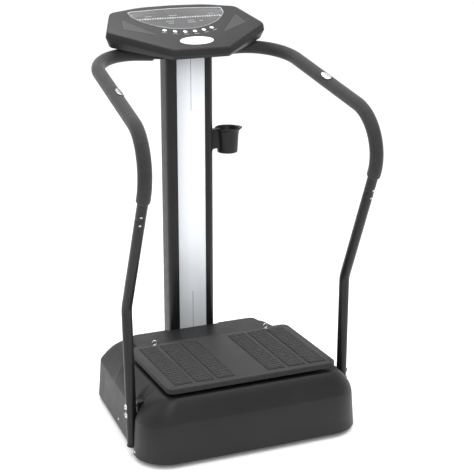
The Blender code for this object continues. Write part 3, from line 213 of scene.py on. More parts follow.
def foam_rubber(name, colour):
    """Closed-cell foam: small pores in a slightly uneven, velvety skin."""
    material, shader, place = blank_material(name, colour, 0.82, Specular_IOR_Level=0.35, Sheen_Weight=0.20,
                                             Sheen_Roughness=0.45)
    cells = place.id_data.nodes.new("ShaderNodeTexVoronoi")
    cells.inputs["Scale"].default_value = 850.0
    drive(cells, "Vector", place)
    pores = ranged(cells.outputs["Distance"], 0.0, 1.0, 0.05, 0.45)
    tone = toned(place, 55.0, colour, 0.85, 1.15)
    drive(shader, "Base Color", blended(pores, scaled(colour, 0.55), tone))
    soft = add_bump(shader, noise(place, 55.0), 0.0007, 0.5)
    add_bump(shader, pores, 0.00025, 0.8, soft)
    return material


def ribbed_rubber(name, colour, groove_height=-1.0):
    """Moulded rubber, dusty on its flats, and dark below the groove height: painted shade between its ribs.
    """
    material, shader, place = blank_material(name, colour, 0.62, Specular_IOR_Level=0.42)
    dust = ranged(noise(place, 30.0, 6.0), 0.0, 1.0, 0.4, 0.75)
    tone = blended(dust, colour, scaled(colour, 1.35))
    worn = blended(worn_edges(place, 0.7, 0.50, 0.56), tone, scaled(colour, 2.0))
    # painted shade: below the groove height, in the valleys between the ribs, the colour drops to 0.12 of
    # itself
    raised = along_axis(place, "Z", groove_height, groove_height + 0.0006)
    drive(shader, "Base Color", blended(raised, scaled(colour, 0.12), worn))
    drive(shader, "Roughness", ranged(noise(place, 60.0), 0.55, 0.75))
    add_bump(shader, noise(place, 1500.0, 2.0), 0.00005)
    return material


def brushed_panel(name, colour):
    """Anodised sheet, brushed along its height, with painted shade: darker at its left and greyer toward the
    floor.
    """
    material, shader, place = blank_material(name, colour, 0.38, 0.15, Anisotropic=0.5)
    # painted shade: the sheet is darker at its left edge, and greyer low down where it reflects the dark
    # deck
    across = along_axis(place, "X", -PANEL_HALF_WIDTH, -0.004)
    high = blended(across, scaled(colour, 0.74), colour)
    low = blended(across, scaled(colour, 0.80), scaled(colour, 0.98))
    painted_shade = blended(along_axis(place, "Z", 0.20, 0.75), low, high)
    lines = noise(place, 1.0, 4.0, (2600.0, 2600.0, 9.0))
    drive(shader, "Base Color", blended(ranged(lines, 0.0, 0.10), painted_shade, (0.25, 0.27, 0.30)))
    drive(shader, "Roughness", ranged(lines, 0.26, 0.42))
    add_bump(shader, lines, 0.00002, 0.6)
    return material


def plated(name, colour, roughness=0.10):
    """Bright plating with faint polishing marks."""
    material, shader, place = blank_material(name, colour, roughness, 1.0)
    marks = noise(place, 120.0, 5.0)
    drive(shader, "Roughness", ranged(marks, roughness * 0.6, roughness * 1.8))
    drive(shader, "Base Color", blended(ranged(marks, 0.0, 1.0), scaled(colour, 0.93), colour))
    add_bump(shader, noise(place, 600.0, 2.0), 0.00001)
    return material


def machined_steel(name, colour, roughness=0.32):
    """Turned steel: fine lathe lines and a little oil staining."""
    material, shader, place = blank_material(name, colour, roughness, 1.0)
    lines = noise(place, 1.0, 3.0, (60.0, 3000.0, 60.0))
    stain = ranged(noise(place, 18.0, 6.0), 0.0, 1.0, 0.45, 0.75)
    drive(shader, "Base Color", blended(stain, colour, scaled(colour, 0.62)))
    drive(shader, "Roughness", ranged(lines, roughness - 0.08, roughness + 0.12))
    add_bump(shader, lines, 0.00002)
    return material


def smoked_window(name, colour):
    material, shader, place = blank_material(name, colour, 0.20, Coat_Weight=0.6, Coat_Roughness=0.08)
    drive(shader, "Roughness", ranged(noise(place, 28.0, 6.0), 0.16, 0.34, 0.35, 0.70))
    drive(shader, "Base Color", toned(place, 8.0, colour, 0.9, 1.15))
    return material


def glossy_plastic(name, colour, roughness=0.22):
    material, shader, place = blank_material(name, colour, roughness)
    drive(shader, "Base Color", toned(place, 60.0, colour, 0.95, 1.0))
    drive(shader, "Roughness", ranged(noise(place, 90.0), roughness - 0.06, roughness + 0.08))
    return material


def circuit_board(name, colour):
    """Solder mask with fine copper traces showing through."""
    material, shader, place = blank_material(name, colour, 0.35)
    traces = place.id_data.nodes.new("ShaderNodeTexWave")
    traces.inputs["Scale"].default_value = 140.0
    traces.inputs["Distortion"].default_value = 6.0
    drive(traces, "Vector", place)
    line = ranged(traces.outputs["Fac"], 0.0, 1.0, 0.80, 0.90)
    drive(shader, "Base Color", blended(line, colour, scaled(colour, 2.4)))
    add_bump(shader, line, 0.00004)
    return material


# each look's material, and the record's slot that it stands for
LOOKS = {
    "cover": (moulded_plastic("cover_plastic", (0.0125, 0.0125, 0.0132), 0.46), "cover_plastic"),
    "console": (moulded_plastic("console_plastic", (0.016, 0.016, 0.017), 0.44), "cover_plastic"),
    # paler than the cover as painted light, for the light that each tilted facet catches
    "facet": (moulded_plastic("facet_plastic_painted_light", (0.040, 0.040, 0.042), 0.40), "cover_plastic"),
    "plate": (moulded_plastic("plate_plastic", (0.029, 0.029, 0.030), 0.50), "plate_plastic"),
    "fitting": (moulded_plastic("fitting_plastic", (0.011, 0.011, 0.012), 0.42), "fitting_plastic"),
    # the grip rubber carries painted shade below its rib tops
    "mat": (ribbed_rubber("grip_rubber", (0.030, 0.030, 0.030), PLATE_TOP + 0.0013), "grip_rubber"),
    "foot": (ribbed_rubber("foot_rubber", (0.010, 0.010, 0.010)), "foot_rubber"),
    "paint": (powder_coat("black_paint", (0.0075, 0.0075, 0.0080), 0.36), "black_paint"),
    "foam": (foam_rubber("grip_foam", (0.022, 0.022, 0.023)), "grip_foam"),
    "panel": (brushed_panel("silver_panel", (0.90, 0.93, 0.97)), "silver_panel"),
    "chrome": (plated("chrome", (0.60, 0.61, 0.63)), "chrome"),
    "trim": (plated("silver_trim", (0.42, 0.43, 0.45), 0.36), "chrome"),
    "button": (plated("button_silver", (0.86, 0.88, 0.91), 0.28), "button_silver"),
    "window": (smoked_window("display_glass", (0.022, 0.022, 0.024)), "display_glass"),
    "badge": (glossy_plastic("badge_white", (0.90, 0.90, 0.89)), "badge_white"),
    "mark": (glossy_plastic("printed_mark", (0.42, 0.43, 0.44), 0.5), "badge_white"),
    "steel": (machined_steel("machine_steel", (0.55, 0.56, 0.58)), "machine_steel"),
    "rotor": (machined_steel("rotor_steel", (0.50, 0.34, 0.22), 0.40), "rotor_steel"),
    "board": (circuit_board("circuit_board", (0.012, 0.085, 0.030)), "circuit_board"),
    "switch": (glossy_plastic("switch_red", (0.33, 0.012, 0.010)), "switch_red"),
    # near black: dark joint lines, and on the plate's side painted shade
    "dark": (glossy_plastic("joint_line_and_painted_shade", (0.003, 0.003, 0.003), 0.7), "black_paint"),
}


# ---- outlines and meshes -------------------------------------------------------------------------
def level(outline, height):
    return [(x, y, height) for x, y in outline]


def oval(half_length, half_width, height, sides, centre_y=0.0):
    return [(half_length * math.cos(math.tau * step / sides),
             centre_y + half_width * math.sin(math.tau * step / sides), height) for step in range(sides)]


def quarter_round(steps):
    """How far in and how far down a rounded edge is at each step, from its side to its top."""
    for step in range(steps + 1):
        angle = math.pi / 2 * step / steps
        yield 1 - math.cos(angle), 1 - math.sin(angle)


def corner_arc(before, corner, after, radius, segments):
    """Points of the arc that rounds one corner between two straight runs."""
    into, away = (before - corner).normalized(), (after - corner).normalized()
    shares = [step / segments for step in range(segments + 1)]
    if (into + away).length < 0.0001:
        return [(corner + into * radius).lerp(corner + away * radius, share) for share in shares]
    half_angle = into.angle(away) / 2
    reach = radius / math.tan(half_angle)
    centre = corner + (into + away).normalized() * (radius / math.sin(half_angle))
    start = (corner + into * reach - centre).normalized()
    end = (corner + away * reach - centre).normalized()
    return [centre + start.slerp(end, share) * radius for share in shares]


def rounded_outline(corners, segments=12, run=1):
    """Closed outline from (x, y, radius) corners, with each straight run cut into equal parts."""
    places = [Vector((x, y, 0.0)) for x, y, _ in corners]
    arcs = []
    for index, (_, _, radius) in enumerate(corners):
        after = places[(index + 1) % len(places)]
        corner = places[index]
        arcs.append(corner_arc(places[index - 1], corner, after, radius, segments) if radius else [corner])
    points = []
    for index, arc in enumerate(arcs):
        points += arc
        following = arcs[(index + 1) % len(arcs)][0]
        points += [arc[-1].lerp(following, step / run) for step in range(1, run)]
    return [(point.x, point.y) for point in points]


def rounded_box(low_x, low_y, high_x, high_y, corner, segments):
    return rounded_outline([(low_x, low_y, corner), (high_x, low_y, corner), (high_x, high_y, corner),
                            (low_x, high_y, corner)], segments)


def mirrored(half):
    return half + [(-x, *rest) for x, *rest in reversed(half) if x > 0]


def mesh_from(name, build, sharp=35.0):
    """A mesh filled by build(bmesh), smooth except where it turns by more than the sharp angle."""
    bm = bmesh.new()
    build(bm)
    bmesh.ops.remove_doubles(bm, verts=bm.verts, dist=0.000002)
    bmesh.ops.recalc_face_normals(bm, faces=bm.faces)
    mesh = bpy.data.meshes.new(name)
    bm.to_mesh(mesh)
    bm.free()
    mesh.shade_smooth()
    mesh.set_sharp_from_angle(angle=math.radians(sharp))
    return mesh


def add_strips(bm, rows, closed=False):
    """Join rows of equally many vertices with faces."""
    count = len(rows[0])
    for lower, upper in zip(rows, rows[1:]):
        for index in range(count if closed else count - 1):
            after = (index + 1) % count
            bm.faces.new((lower[index], lower[after], upper[after], upper[index]))


def add_rings(bm, rings, cap_start=False, cap_end=False):
    """A skin through closed rings of equally many points."""
    rows = [[bm.verts.new(point) for point in ring] for ring in rings]
    add_strips(bm, rows, closed=True)
    if cap_start:
        bm.faces.new(list(reversed(rows[0])))
    if cap_end:
        bm.faces.new(rows[-1])


def ring_mesh(name, rings, sharp=35.0, **caps):
    return mesh_from(name, lambda bm: add_rings(bm, rings, **caps), sharp)


def solid_mesh(name, rings, sharp=35.0):
    return ring_mesh(name, rings, sharp, cap_start=True, cap_end=True)


def revolved(name, profile, sides=32, sharp=40.0):
    """A turned shape from (radius, height) points; a radius of 0 closes the end."""
    return ring_mesh(name, [oval(radius, radius, height, sides) for radius, height in profile], sharp)


def tube(name, points, radius, rounding=0.0):
    """A round bar as a curve along points; rounding draws its two ends in like a lip."""
    curve = bpy.data.curves.new(name, "CURVE")
    curve.dimensions = "3D"
    curve.bevel_depth = radius
    curve.bevel_resolution = 9
    curve.use_fill_caps = True
    spline = curve.splines.new("POLY")
    reach = [0.0]
    for first, second in zip(points, points[1:]):
        reach.append(reach[-1] + (second - first).length)
    spline.points.add(len(points) - 1)
    for item, point, distance in zip(spline.points, points, reach):
        item.co = (*point, 1.0)
        item.radius = 1.0
        nearest = min(distance, reach[-1] - distance)
        if rounding and nearest < rounding:
            share = 1 - nearest / rounding
            item.radius = 1 - rounding / radius * (1 - math.sqrt(max(0.0, 1 - share * share)))
    spline.use_smooth = True
    return curve


# ---- making pieces -------------------------------------------------------------------------------
def link(name, data, place=None):
    obj = bpy.data.objects.new(name, data)
    bpy.context.scene.collection.objects.link(obj)
    if place is not None:
        obj.matrix_world = place
    return obj


def show(name, data, look, body="base", replaces=None, place=None, slot=None):
    """A piece: its look gives its material, and it rides on its body; the slot argument is not used."""
    material, own_slot = LOOKS[look]
    obj = link(name, data, place)
    data.materials.append(material)
    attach(obj, body)
    if replaces:
        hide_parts(replaces)
    return obj


def show_solid(name, rings, look, sharp=35.0, **how):
    return show(name, solid_mesh(name, rings, sharp), look, **how)


def show_turned(name, profile, look, sides=32, **how):
    return show(name, revolved(name, profile, sides), look, **how)


def facing(point, direction):
    """A placement whose Z axis points along the direction."""
    turn = Vector((0, 0, 1)).rotation_difference(Vector(direction)).to_matrix().to_4x4()
    return Matrix.Translation(point) @ turn


def cut_away(obj, cutters):
    """Cut the loose objects out of the piece's mesh, and remove them."""
    for cutter in cutters:
        boolean = obj.modifiers.new(cutter.name, "BOOLEAN")
        boolean.operation = "DIFFERENCE"
        boolean.solver = "EXACT"
        boolean.object = cutter
    bpy.context.view_layer.update()
    mesh = bpy.data.meshes.new_from_object(obj.evaluated_get(bpy.context.evaluated_depsgraph_get()))
    obj.modifiers.clear()
    obj.data = mesh
    for cutter in cutters:
        bpy.data.objects.remove(cutter, do_unlink=True)


def soften(obj, width, segments, angle):
    """Round the object's sharp edges."""
    bevel = obj.modifiers.new("edges", "BEVEL")
    bevel.width = width
    bevel.segments = segments
    bevel.limit_method = "ANGLE"
    bevel.angle_limit = math.radians(angle)
    bevel.harden_normals = True


def dome_screw_mesh(name, radius, height):
    """A low domed head with a six-sided socket."""
    profile = ((1.0, 0.0), (1.0, 0.15), (0.95, 0.40), (0.82, 0.70), (0.62, 0.90), (0.46, 1.0), (0.42, 0.97))
    sides, socket = 24, radius * 0.40
    rings = [oval(radius * out, radius * out, height * up, sides) for out, up in profile]
    for depth in (height * 0.90, height * 0.25):
        ring = []
        for step in range(sides):
            angle = math.tau * step / sides
            flat = math.cos(math.pi / 6) / math.cos((angle + math.pi / 6) % (math.pi / 3) - math.pi / 6)
            ring.append((socket * flat * math.cos(angle), socket * flat * math.sin(angle), depth))
        rings.append(ring)
    return ring_mesh(name, rings, 38.0, cap_end=True)


# ---- base ----------------------------------------------------------------------------------------
def base_outline(inset):
    half = [
        (0.0, BASE_FRONT + inset, 0.0),
        (0.16, BASE_FRONT + 0.001 + inset, 0.0),
        (BASE_HALF_WIDTH - inset, BASE_FRONT + 0.003 + inset, LOBE_RADIUS - inset),
        (BASE_HALF_WIDTH - inset, LOBE_END_Y, 0.004),
        (GROOVE_HALF_WIDTH - inset, GROOVE_START_Y, 0.005),
        (GROOVE_HALF_WIDTH - inset, GROOVE_END_Y, 0.010),
        (WAIST_START[0] - inset, WAIST_START[1], 0.012),
        (WAIST_MIDDLE[0] - inset, WAIST_MIDDLE[1], 0.060),
        (REAR_HALF_WIDTH - inset, BASE_REAR - inset, REAR_RADIUS - inset),
        (0.0, BASE_REAR - inset, 0.0),
    ]
    return rounded_outline(mirrored(half), 14, 8)


def shoulder_outline(inset=0.0):
    """The shoulder's inner edge, with a corner for each of the base outline's."""
    front = PLATE_FRONT + 0.006 + inset
    rear = DECK_REAR + 0.012 - inset
    side = PLATE_HALF_WIDTH - inset
    half = [(0.0, front, 0.0), (0.16, front, 0.0), (side, front, 0.034)]
    half += [(side, y, 0.004) for y in (LOBE_END_Y, GROOVE_START_Y, GROOVE_END_Y, WAIST_START[1])]
    half += [(side, WAIST_MIDDLE[1], 0.060), (0.234 - inset, rear, 0.040), (0.0, rear, 0.0)]
    return rounded_outline(mirrored(half), 14, 8)


def crease_softness(x, y):
    """How far the crease between wall and shoulder is rounded: most at the lobes and grooves."""
    lobe = max(0.0, min(1.0, (abs(x) - 0.270) / 0.04)) * max(0.0, min(1.0, (-0.13 - y) / 0.04))
    smooth = lobe * lobe * (3 - 2 * lobe)
    return 0.0024 + 0.0130 * smooth


def cover_rib(foot, turn, top):
    """One line of points up the cover: the wall's top, the soft crease, the bulged shoulder, its edge."""
    bend_steps, bulge_steps, edge_steps, edge_reach = 8, 7, 4, 0.006
    foot_point = Vector((*foot, BASE_BOTTOM))
    turn_point = Vector((*turn, BASE_CREASE))
    top_point = Vector((*top, SHOULDER_TOP))

    def shoulder_point(share):
        lift = 4 * SHOULDER_LIFT * share * (1 - share)
        return turn_point.lerp(top_point, share) + Vector((0.0, 0.0, lift))

    def bend(start, middle, end, steps):
        shares = [step / steps for step in range(steps + 1)]
        return [start.lerp(middle, share).lerp(middle.lerp(end, share), share) for share in shares]

    softness = crease_softness(*turn)
    slope = (top_point - turn_point).length
    start = turn_point.lerp(foot_point, softness / (foot_point - turn_point).length)
    low_share, high_share = softness / slope, 1 - edge_reach / slope
    bulge = [shoulder_point(low_share + (high_share - low_share) * step / bulge_steps)
             for step in range(1, bulge_steps)]
    inward = Vector((top[0] - turn[0], top[1] - turn[1], 0.0)).normalized()
    return (bend(start, turn_point, shoulder_point(low_share), bend_steps) + bulge
            + bend(shoulder_point(high_share), top_point, top_point + inward * edge_reach, edge_steps))


def make_base_cover():
    """The cover is one shell: its wall turns in under the floor edge, and its shoulder under the plate."""
    lip = 0.0008
    wall_foot, wall_inside, ledge = base_outline(0.0), base_outline(COVER_WALL), shoulder_outline(0.034)
    rows = [level(wall_inside, BASE_BOTTOM + 0.030), level(wall_inside, BASE_BOTTOM + lip),
            level(base_outline(COVER_WALL - lip), BASE_BOTTOM), level(base_outline(lip), BASE_BOTTOM),
            level(wall_foot, BASE_BOTTOM + lip)]
    crease, shoulder = base_outline(WALL_DRAFT + 0.002), shoulder_outline()
    rows += zip(*[cover_rib(*points) for points in zip(wall_foot, crease, shoulder)])
    rows += [level(ledge, SHOULDER_TOP), level(ledge, SHOULDER_TOP - 0.045)]
    show("base_cover_skin", ring_mesh("base_cover_skin", rows, 50.0), "cover", replaces="base_cover")


def make_deck():
    """The raised deck behind the plate, with a notch round the column."""
    def outline(inset, drop):
        front, rear = PLATE_REAR - 0.030, DECK_REAR - inset
        notch_x, notch_y = COLUMN_HALF_WIDTH + COLUMN_NOTCH + inset, COLUMN_FRONT - 0.0015 - inset
        half = [
            (0.0, front, 0.0),
            (0.238 - inset, front, 0.004),
            (0.2125 - inset, rear, 0.020),
            (notch_x, rear, 0.0015),
            (notch_x, notch_y, 0.0010),
            (0.0, notch_y, 0.0),
        ]
        return level(rounded_outline(mirrored(half), 10), DECK_TOP - drop)

    fillet = 0.006
    rows = [outline(-0.001, 0.024), outline(0.0, 0.016)]
    rows += [outline(fillet * inward, fillet * down) for inward, down in quarter_round(6)]
    show("base_deck", ring_mesh("base_deck", rows, 50.0, cap_end=True), "cover")


def wall_x(y, z):
    """Half width of the cover's side wall behind the lobes."""
    lean = WALL_DRAFT * (z - BASE_BOTTOM) / (BASE_CREASE - BASE_BOTTOM)
    share = (y - WAIST_START[1]) / (WAIST_MIDDLE[1] - WAIST_START[1])
    return WAIST_START[0] + (WAIST_MIDDLE[0] - WAIST_START[0]) * share - lean


def make_base_screws():
    """Screws that hold the cover to the frame, low on its sides and beside each handlebar's foot."""
    head = dome_screw_mesh("cover_screw", 0.0042, 0.0022)
    for side, across in SIDES:
        lean = (across, 0.0, WALL_DRAFT / (BASE_CREASE - BASE_BOTTOM))
        waist = (across * (wall_x(SCREW_Y, SCREW_HEIGHT) + 0.0002), SCREW_Y, SCREW_HEIGHT)
        show(f"{side}_cover_screw", head.copy(), "chrome", place=facing(waist, lean))
        lobe = (across * (BASE_HALF_WIDTH - 0.001), LOBE_END_Y - 0.012, 0.026)
        show(f"{side}_lobe_screw", head.copy(), "chrome", place=facing(lobe, lean))


def make_feet():
    profile = [(0.0, 0.0188), (0.0120, 0.0186), (0.0135, 0.0175), (0.0158, 0.0125), (0.0162, 0.0118),
               (0.0182, 0.0100), (0.0190, 0.0060), (0.0190, 0.0020), (0.0182, 0.0006), (0.0172, 0.0),
               (0.0, 0.0)]
    for name in ("front_left_foot", "front_right_foot", "rear_left_foot", "rear_right_foot"):
        low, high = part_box(name)
        place = Matrix.Translation(((low.x + high.x) / 2, (low.y + high.y) / 2, 0.0))
        show_turned(f"{name}_pad", profile, "foot", 40, replaces=name, place=place)


# ---- platform ------------------------------------------------------------------------------------
def make_plate():
    """The foot plate has a rolled edge, a near-black sheet of painted shade round its side, a fine line
    inside it and two screws in front.
    """
    def outline(inset, height):
        x, front, rear = PLATE_HALF_WIDTH - inset, PLATE_FRONT + inset, PLATE_REAR - inset
        return level(rounded_box(-x, front, x, rear, PLATE_CORNER - inset, 14), height)

    bottom, roll = PLATE_TOP - PLATE_THICKNESS, 0.0030
    rows = [outline(0.006, bottom), outline(0.0015, bottom), outline(0.0, bottom + 0.0015),
            outline(0.0, PLATE_TOP - 0.0034)]
    rows += [outline(roll * inward, PLATE_TOP - roll * down) for inward, down in quarter_round(6)]
    rows += [outline(0.0062, PLATE_TOP), outline(0.0070, PLATE_TOP - 0.0005), outline(0.0078, PLATE_TOP)]
    show_solid("foot_plate", rows, "plate", 40.0, body="platform", replaces="vibration_plate")
    # painted shade: a near-black sheet wrapped round the plate's side, where the side falls into shadow
    side_shade_rows = [outline(0.0002, bottom + 0.0012), outline(-0.0004, bottom + 0.0018),
            outline(-0.0004, PLATE_TOP - 0.0042), outline(0.0002, PLATE_TOP - 0.0036)]
    show("plate_side_painted_shade", ring_mesh("plate_side_painted_shade", side_shade_rows, 40.0), "dark", "platform", slot="foot_rubber")
    head = dome_screw_mesh("corner_screw", 0.0032, 0.0012)
    for number, (_, across) in enumerate(SIDES, start=1):
        place = Matrix.Translation((across * (PLATE_HALF_WIDTH - 0.016), PLATE_FRONT + 0.013, PLATE_TOP))
        show(f"plate_corner_screw_{number}", head.copy(), "paint", "platform", place=place)


def strip_height(across, along, pitch):
    """Height of the wavy ribs: across runs 0 to 1 over a strip, along is metres from its front."""
    zigzag = abs((across * RIDGE_WAVES) % 1.0 - 0.5) * 2.0
    phase = (along / pitch + 0.42 * zigzag) % 1.0
    rib = max(0.0, math.sin(math.pi * min(1.0, phase / 0.62)))
    return RIDGE_HEIGHT * rib ** 0.8


def add_mat_strip(bm, centre_x):
    """One strip: wavy ribs inside a low border, with its sides turned down to the plate."""
    length = STRIP_REAR - STRIP_FRONT
    pitch = length / RIDGE_COUNT
    columns, rows = 36, RIDGE_COUNT * 9
    floor, border, ramp, rim_height = PLATE_TOP + 0.0004, 0.0022, 0.0012, 0.0009
    grid = []
    for row in range(rows + 1):
        along = length * row / rows
        line = []
        for column in range(columns + 1):
            share = column / columns
            x = centre_x + (share - 0.5) * STRIP_WIDTH
            from_edge = min(min(share, 1 - share) * STRIP_WIDTH, along, length - along)
            inside = max(0.0, min(1.0, (from_edge - border) / ramp))
            rim = rim_height if inside < 0.5 else 0.0
            height = floor + rim + inside * strip_height(share, along, pitch)
            line.append(bm.verts.new((x, STRIP_FRONT + along, height)))
        grid.append(line)
    add_strips(bm, grid)
    loop = grid[0] + [line[-1] for line in grid[1:]] + grid[-1][-2::-1] + [line[0] for line in grid[-2:0:-1]]
    foot = [bm.verts.new((vert.co.x, vert.co.y, PLATE_TOP + 0.0001)) for vert in loop]
    add_strips(bm, [loop, foot], closed=True)


def make_mats():
    """Three ribbed strips on each side of the plate."""
    for side, across in SIDES:
        def build(bm):
            for number in range(STRIP_COUNT):
                add_mat_strip(bm, across * (STRIP_FIRST_X + number * STRIP_PITCH))

        show(f"{side}_ribbed_mat", mesh_from(f"{side}_ribbed_mat", build, 60.0), "mat", "platform",
             f"{side}_grip_mat")


def make_strap_rings():
    """Bright eye bolts at the plate's rear: a ring and its collar."""
    around, section = 40, 14
    rings = []
    for step in range(around + 1):
        angle = math.tau * step / around
        wire = oval(EYE_WIRE, EYE_WIRE, 0.0, section)
        rings.append([((EYE_RADIUS + out) * math.cos(angle), up, (EYE_RADIUS + out) * math.sin(angle))
                      for out, up, _ in wire])
    collar = [(0.0072, 0.0002), (0.0072, 0.0010), (0.0060, 0.0012), (0.0058, 0.0030), (0.0040, 0.0038),
              (0.0022, 0.0045), (0.0, 0.0046)]
    centre = PLATE_TOP + EYE_RADIUS + EYE_WIRE + 0.0008
    for side, across in SIDES:
        x = across * RING_X
        place = Matrix.Translation((x, RING_Y, centre)) @ Matrix.Rotation(math.radians(across * 12), 4, "Z")
        show(f"{side}_eye", ring_mesh(f"{side}_eye", rings), "chrome", "platform", place=place,
             replaces=f"{side}_strap_ring")
        show_turned(f"{side}_eye_collar", collar, "chrome", body="platform",
                    place=Matrix.Translation((x, RING_Y, PLATE_TOP)))


# ---- column --------------------------------------------------------------------------------------
def make_column():
    """An extruded post with a shallow channel in front for the bright panel."""
    x, channel = COLUMN_HALF_WIDTH, PANEL_HALF_WIDTH + 0.0003
    channel_y = COLUMN_FRONT + PANEL_RECESS
    outline = rounded_outline([
        (-x, COLUMN_FRONT, 0.020), (-channel - 0.0001, COLUMN_FRONT, 0.0012), (-channel, channel_y, 0.0),
        (channel, channel_y, 0.0), (channel + 0.0001, COLUMN_FRONT, 0.0012), (x, COLUMN_FRONT, 0.020),
        (x, COLUMN_REAR, 0.013), (-x, COLUMN_REAR, 0.013)], 8)
    rows = [level(outline, z) for z in (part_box("column")[0].z, DECK_TOP, COLUMN_TOP)]
    show_solid("column_post", rows, "paint", 30.0, replaces="column")

    panel_face, edge = COLUMN_FRONT + 0.0014, 0.0006

    def sheet(inset, y):
        x, low, high = PANEL_HALF_WIDTH - inset, PANEL_BOTTOM + inset, PANEL_TOP - inset
        return [(-x, y, low), (x, y, low), (x, y, high), (-x, y, high)]

    rows = [sheet(0.0, channel_y - 0.0003), sheet(0.0, panel_face + edge),
            sheet(edge * 0.3, panel_face + edge * 0.3), sheet(edge, panel_face)]
    show_solid("panel_sheet", rows, "panel", 50.0, replaces="column_panel")

    # the panel's fine centre line shows at its top and near its foot
    length = PANEL_TOP - PANEL_BOTTOM
    section = [(-0.0007, panel_face + 0.0001), (0.0007, panel_face + 0.0001), (0.0004, panel_face - 0.0002),
               (-0.0004, panel_face - 0.0002)]
    for name, low, high in (("upper", PANEL_TOP - 0.205 * length, PANEL_TOP - 0.002),
                            ("lower", PANEL_BOTTOM + 0.002, PANEL_BOTTOM + 0.145 * length)):
        show_solid(f"panel_{name}_line", [level(section, low), level(section, high)], "paint")

    head = dome_screw_mesh("column_screw", 0.0055, 0.0030)
    for side, across in SIDES:
        for name, z in (("low", 0.262), ("high", 1.040)):
            place = facing((across * 0.040, COLUMN_REAR, z), (0, 1, 0))
            show(f"column_screw_{side}_{name}", head.copy(), "chrome", place=place)


def make_cup_holder():
    """A bucket whose flared rim is drawn out into a lip on its outer side, and its bracket on the post."""
    sides, low_radius = 56, CUP_RADIUS - CUP_TAPER
    inner_low = low_radius - CUP_WALL
    profile = [          # radius, height, and the share of the lip that it has
        (0.0, 0.0, 0.0), (low_radius - 0.003, 0.0, 0.0), (low_radius - 0.0008, 0.0008, 0.0),
        (low_radius, 0.003, 0.0), (CUP_RADIUS - 0.0012, CUP_DEPTH - 0.024, 0.0),
        (CUP_RADIUS + 0.0002, CUP_DEPTH - 0.012, 0.10), (CUP_RADIUS + 0.0016, CUP_DEPTH - 0.0065, 0.40),
        (CUP_RADIUS + 0.0030, CUP_DEPTH - 0.0046, 0.95), (CUP_RADIUS + 0.0036, CUP_DEPTH - 0.0028, 1.0),
        (CUP_RADIUS + 0.0032, CUP_DEPTH - 0.0010, 1.0), (CUP_RADIUS + 0.0018, CUP_DEPTH, 0.85),
        (CUP_RADIUS - 0.0004, CUP_DEPTH - 0.0008, 0.40), (CUP_RADIUS - CUP_WALL, CUP_DEPTH - 0.006, 0.05),
        (inner_low, 0.006, 0.0), (inner_low - 0.003, CUP_WALL, 0.0), (0.0, CUP_WALL, 0.0),
    ]
    rings = []
    for radius, height, flare in profile:
        ring = []
        for step in range(sides):
            angle = math.tau * step / sides
            lip = max(0.0, math.cos(angle + math.radians(20))) ** 6 * flare
            reach = radius + CUP_LIP * lip
            lift = 0.0014 * lip if flare > 0.3 else 0.0
            ring.append((reach * math.cos(angle), reach * math.sin(angle), height + lift))
        rings.append(ring)
    base = CUP_TOP - CUP_DEPTH
    show("cup_bucket", ring_mesh("cup_bucket", rings, 45.0), "fitting", replaces="cup_holder",
         place=Matrix.Translation((*CUP_CENTRE, base)))

    # the bracket: a plate on the post that narrows into a web on the bucket
    x, y = COLUMN_HALF_WIDTH + 0.0003, CUP_CENTRE[1]
    rows = []
    for at, half_width, above_base, below_top, corner in (
            (x, 0.0150, 0.012, 0.0020, 0.004), (x + 0.0034, 0.0150, 0.012, 0.0020, 0.004),
            (x + 0.0040, 0.0142, 0.013, 0.0030, 0.004), (x + 0.0060, 0.0118, 0.015, 0.0020, 0.003),
            (x + 0.0160, 0.0112, 0.016, 0.0015, 0.003),
            (CUP_CENTRE[0] - CUP_RADIUS + 0.008, 0.0116, 0.016, 0.0020, 0.003)):
        low, high = base + above_base, CUP_TOP - below_top
        outline = rounded_box(y - half_width, low, y + half_width, high, corner, 5)
        rows.append([(at, across, up) for across, up in outline])
    show_solid("cup_bracket", rows, "fitting", 40.0)


# ---- handlebars ----------------------------------------------------------------------------------
def bar_path(across, bend_step=0.006, step=0.005):
    """Centre line of one handlebar from the column to its floor end, with points at even, close steps."""
    corners = [Vector((across * x, y, z)) for x, y, z, _ in BAR_CORNERS]
    points = [corners[0]]
    for index in range(1, len(corners) - 1):
        radius = BAR_CORNERS[index][3]
        before, corner, after = corners[index - 1:index + 2]
        turn = math.pi - (before - corner).angle(after - corner)
        points += corner_arc(before, corner, after, radius, round(radius * turn / bend_step))
    points.append(corners[-1])
    fine = [points[0]]
    for first, second in zip(points, points[1:]):
        parts = max(1, round((second - first).length / step))
        fine += [first.lerp(second, part / parts) for part in range(1, parts + 1)]
    return fine


def at_height(path, height):
    """The point where the descending part of the path reaches a height, and its direction there."""
    for upper, lower in zip(path[-1::-1][1:], path[-1::-1]):
        if lower.z <= height <= upper.z:
            return lower.lerp(upper, (height - lower.z) / (upper.z - lower.z)), (lower - upper).normalized()
    raise ValueError(height)


def from_x(path, x):
    """The first point of the path that lies x across."""
    for first, second in zip(path, path[1:]):
        if abs(first.x) <= abs(x) <= abs(second.x):
            return first.lerp(second, (x - first.x) / (second.x - first.x))
    raise ValueError(x)


def fine_ends(points, reach):
    """Add close points near both ends so that a rounded lip is smooth."""
    def near(end, ahead):
        direction = (ahead - end).normalized()
        return [end + direction * reach * (step / 8) ** 2 for step in range(9)]

    middle = [p for p in points if (p - points[0]).length > reach and (p - points[-1]).length > reach]
    return near(points[0], points[1]) + middle + near(points[-1], points[-2])[::-1]


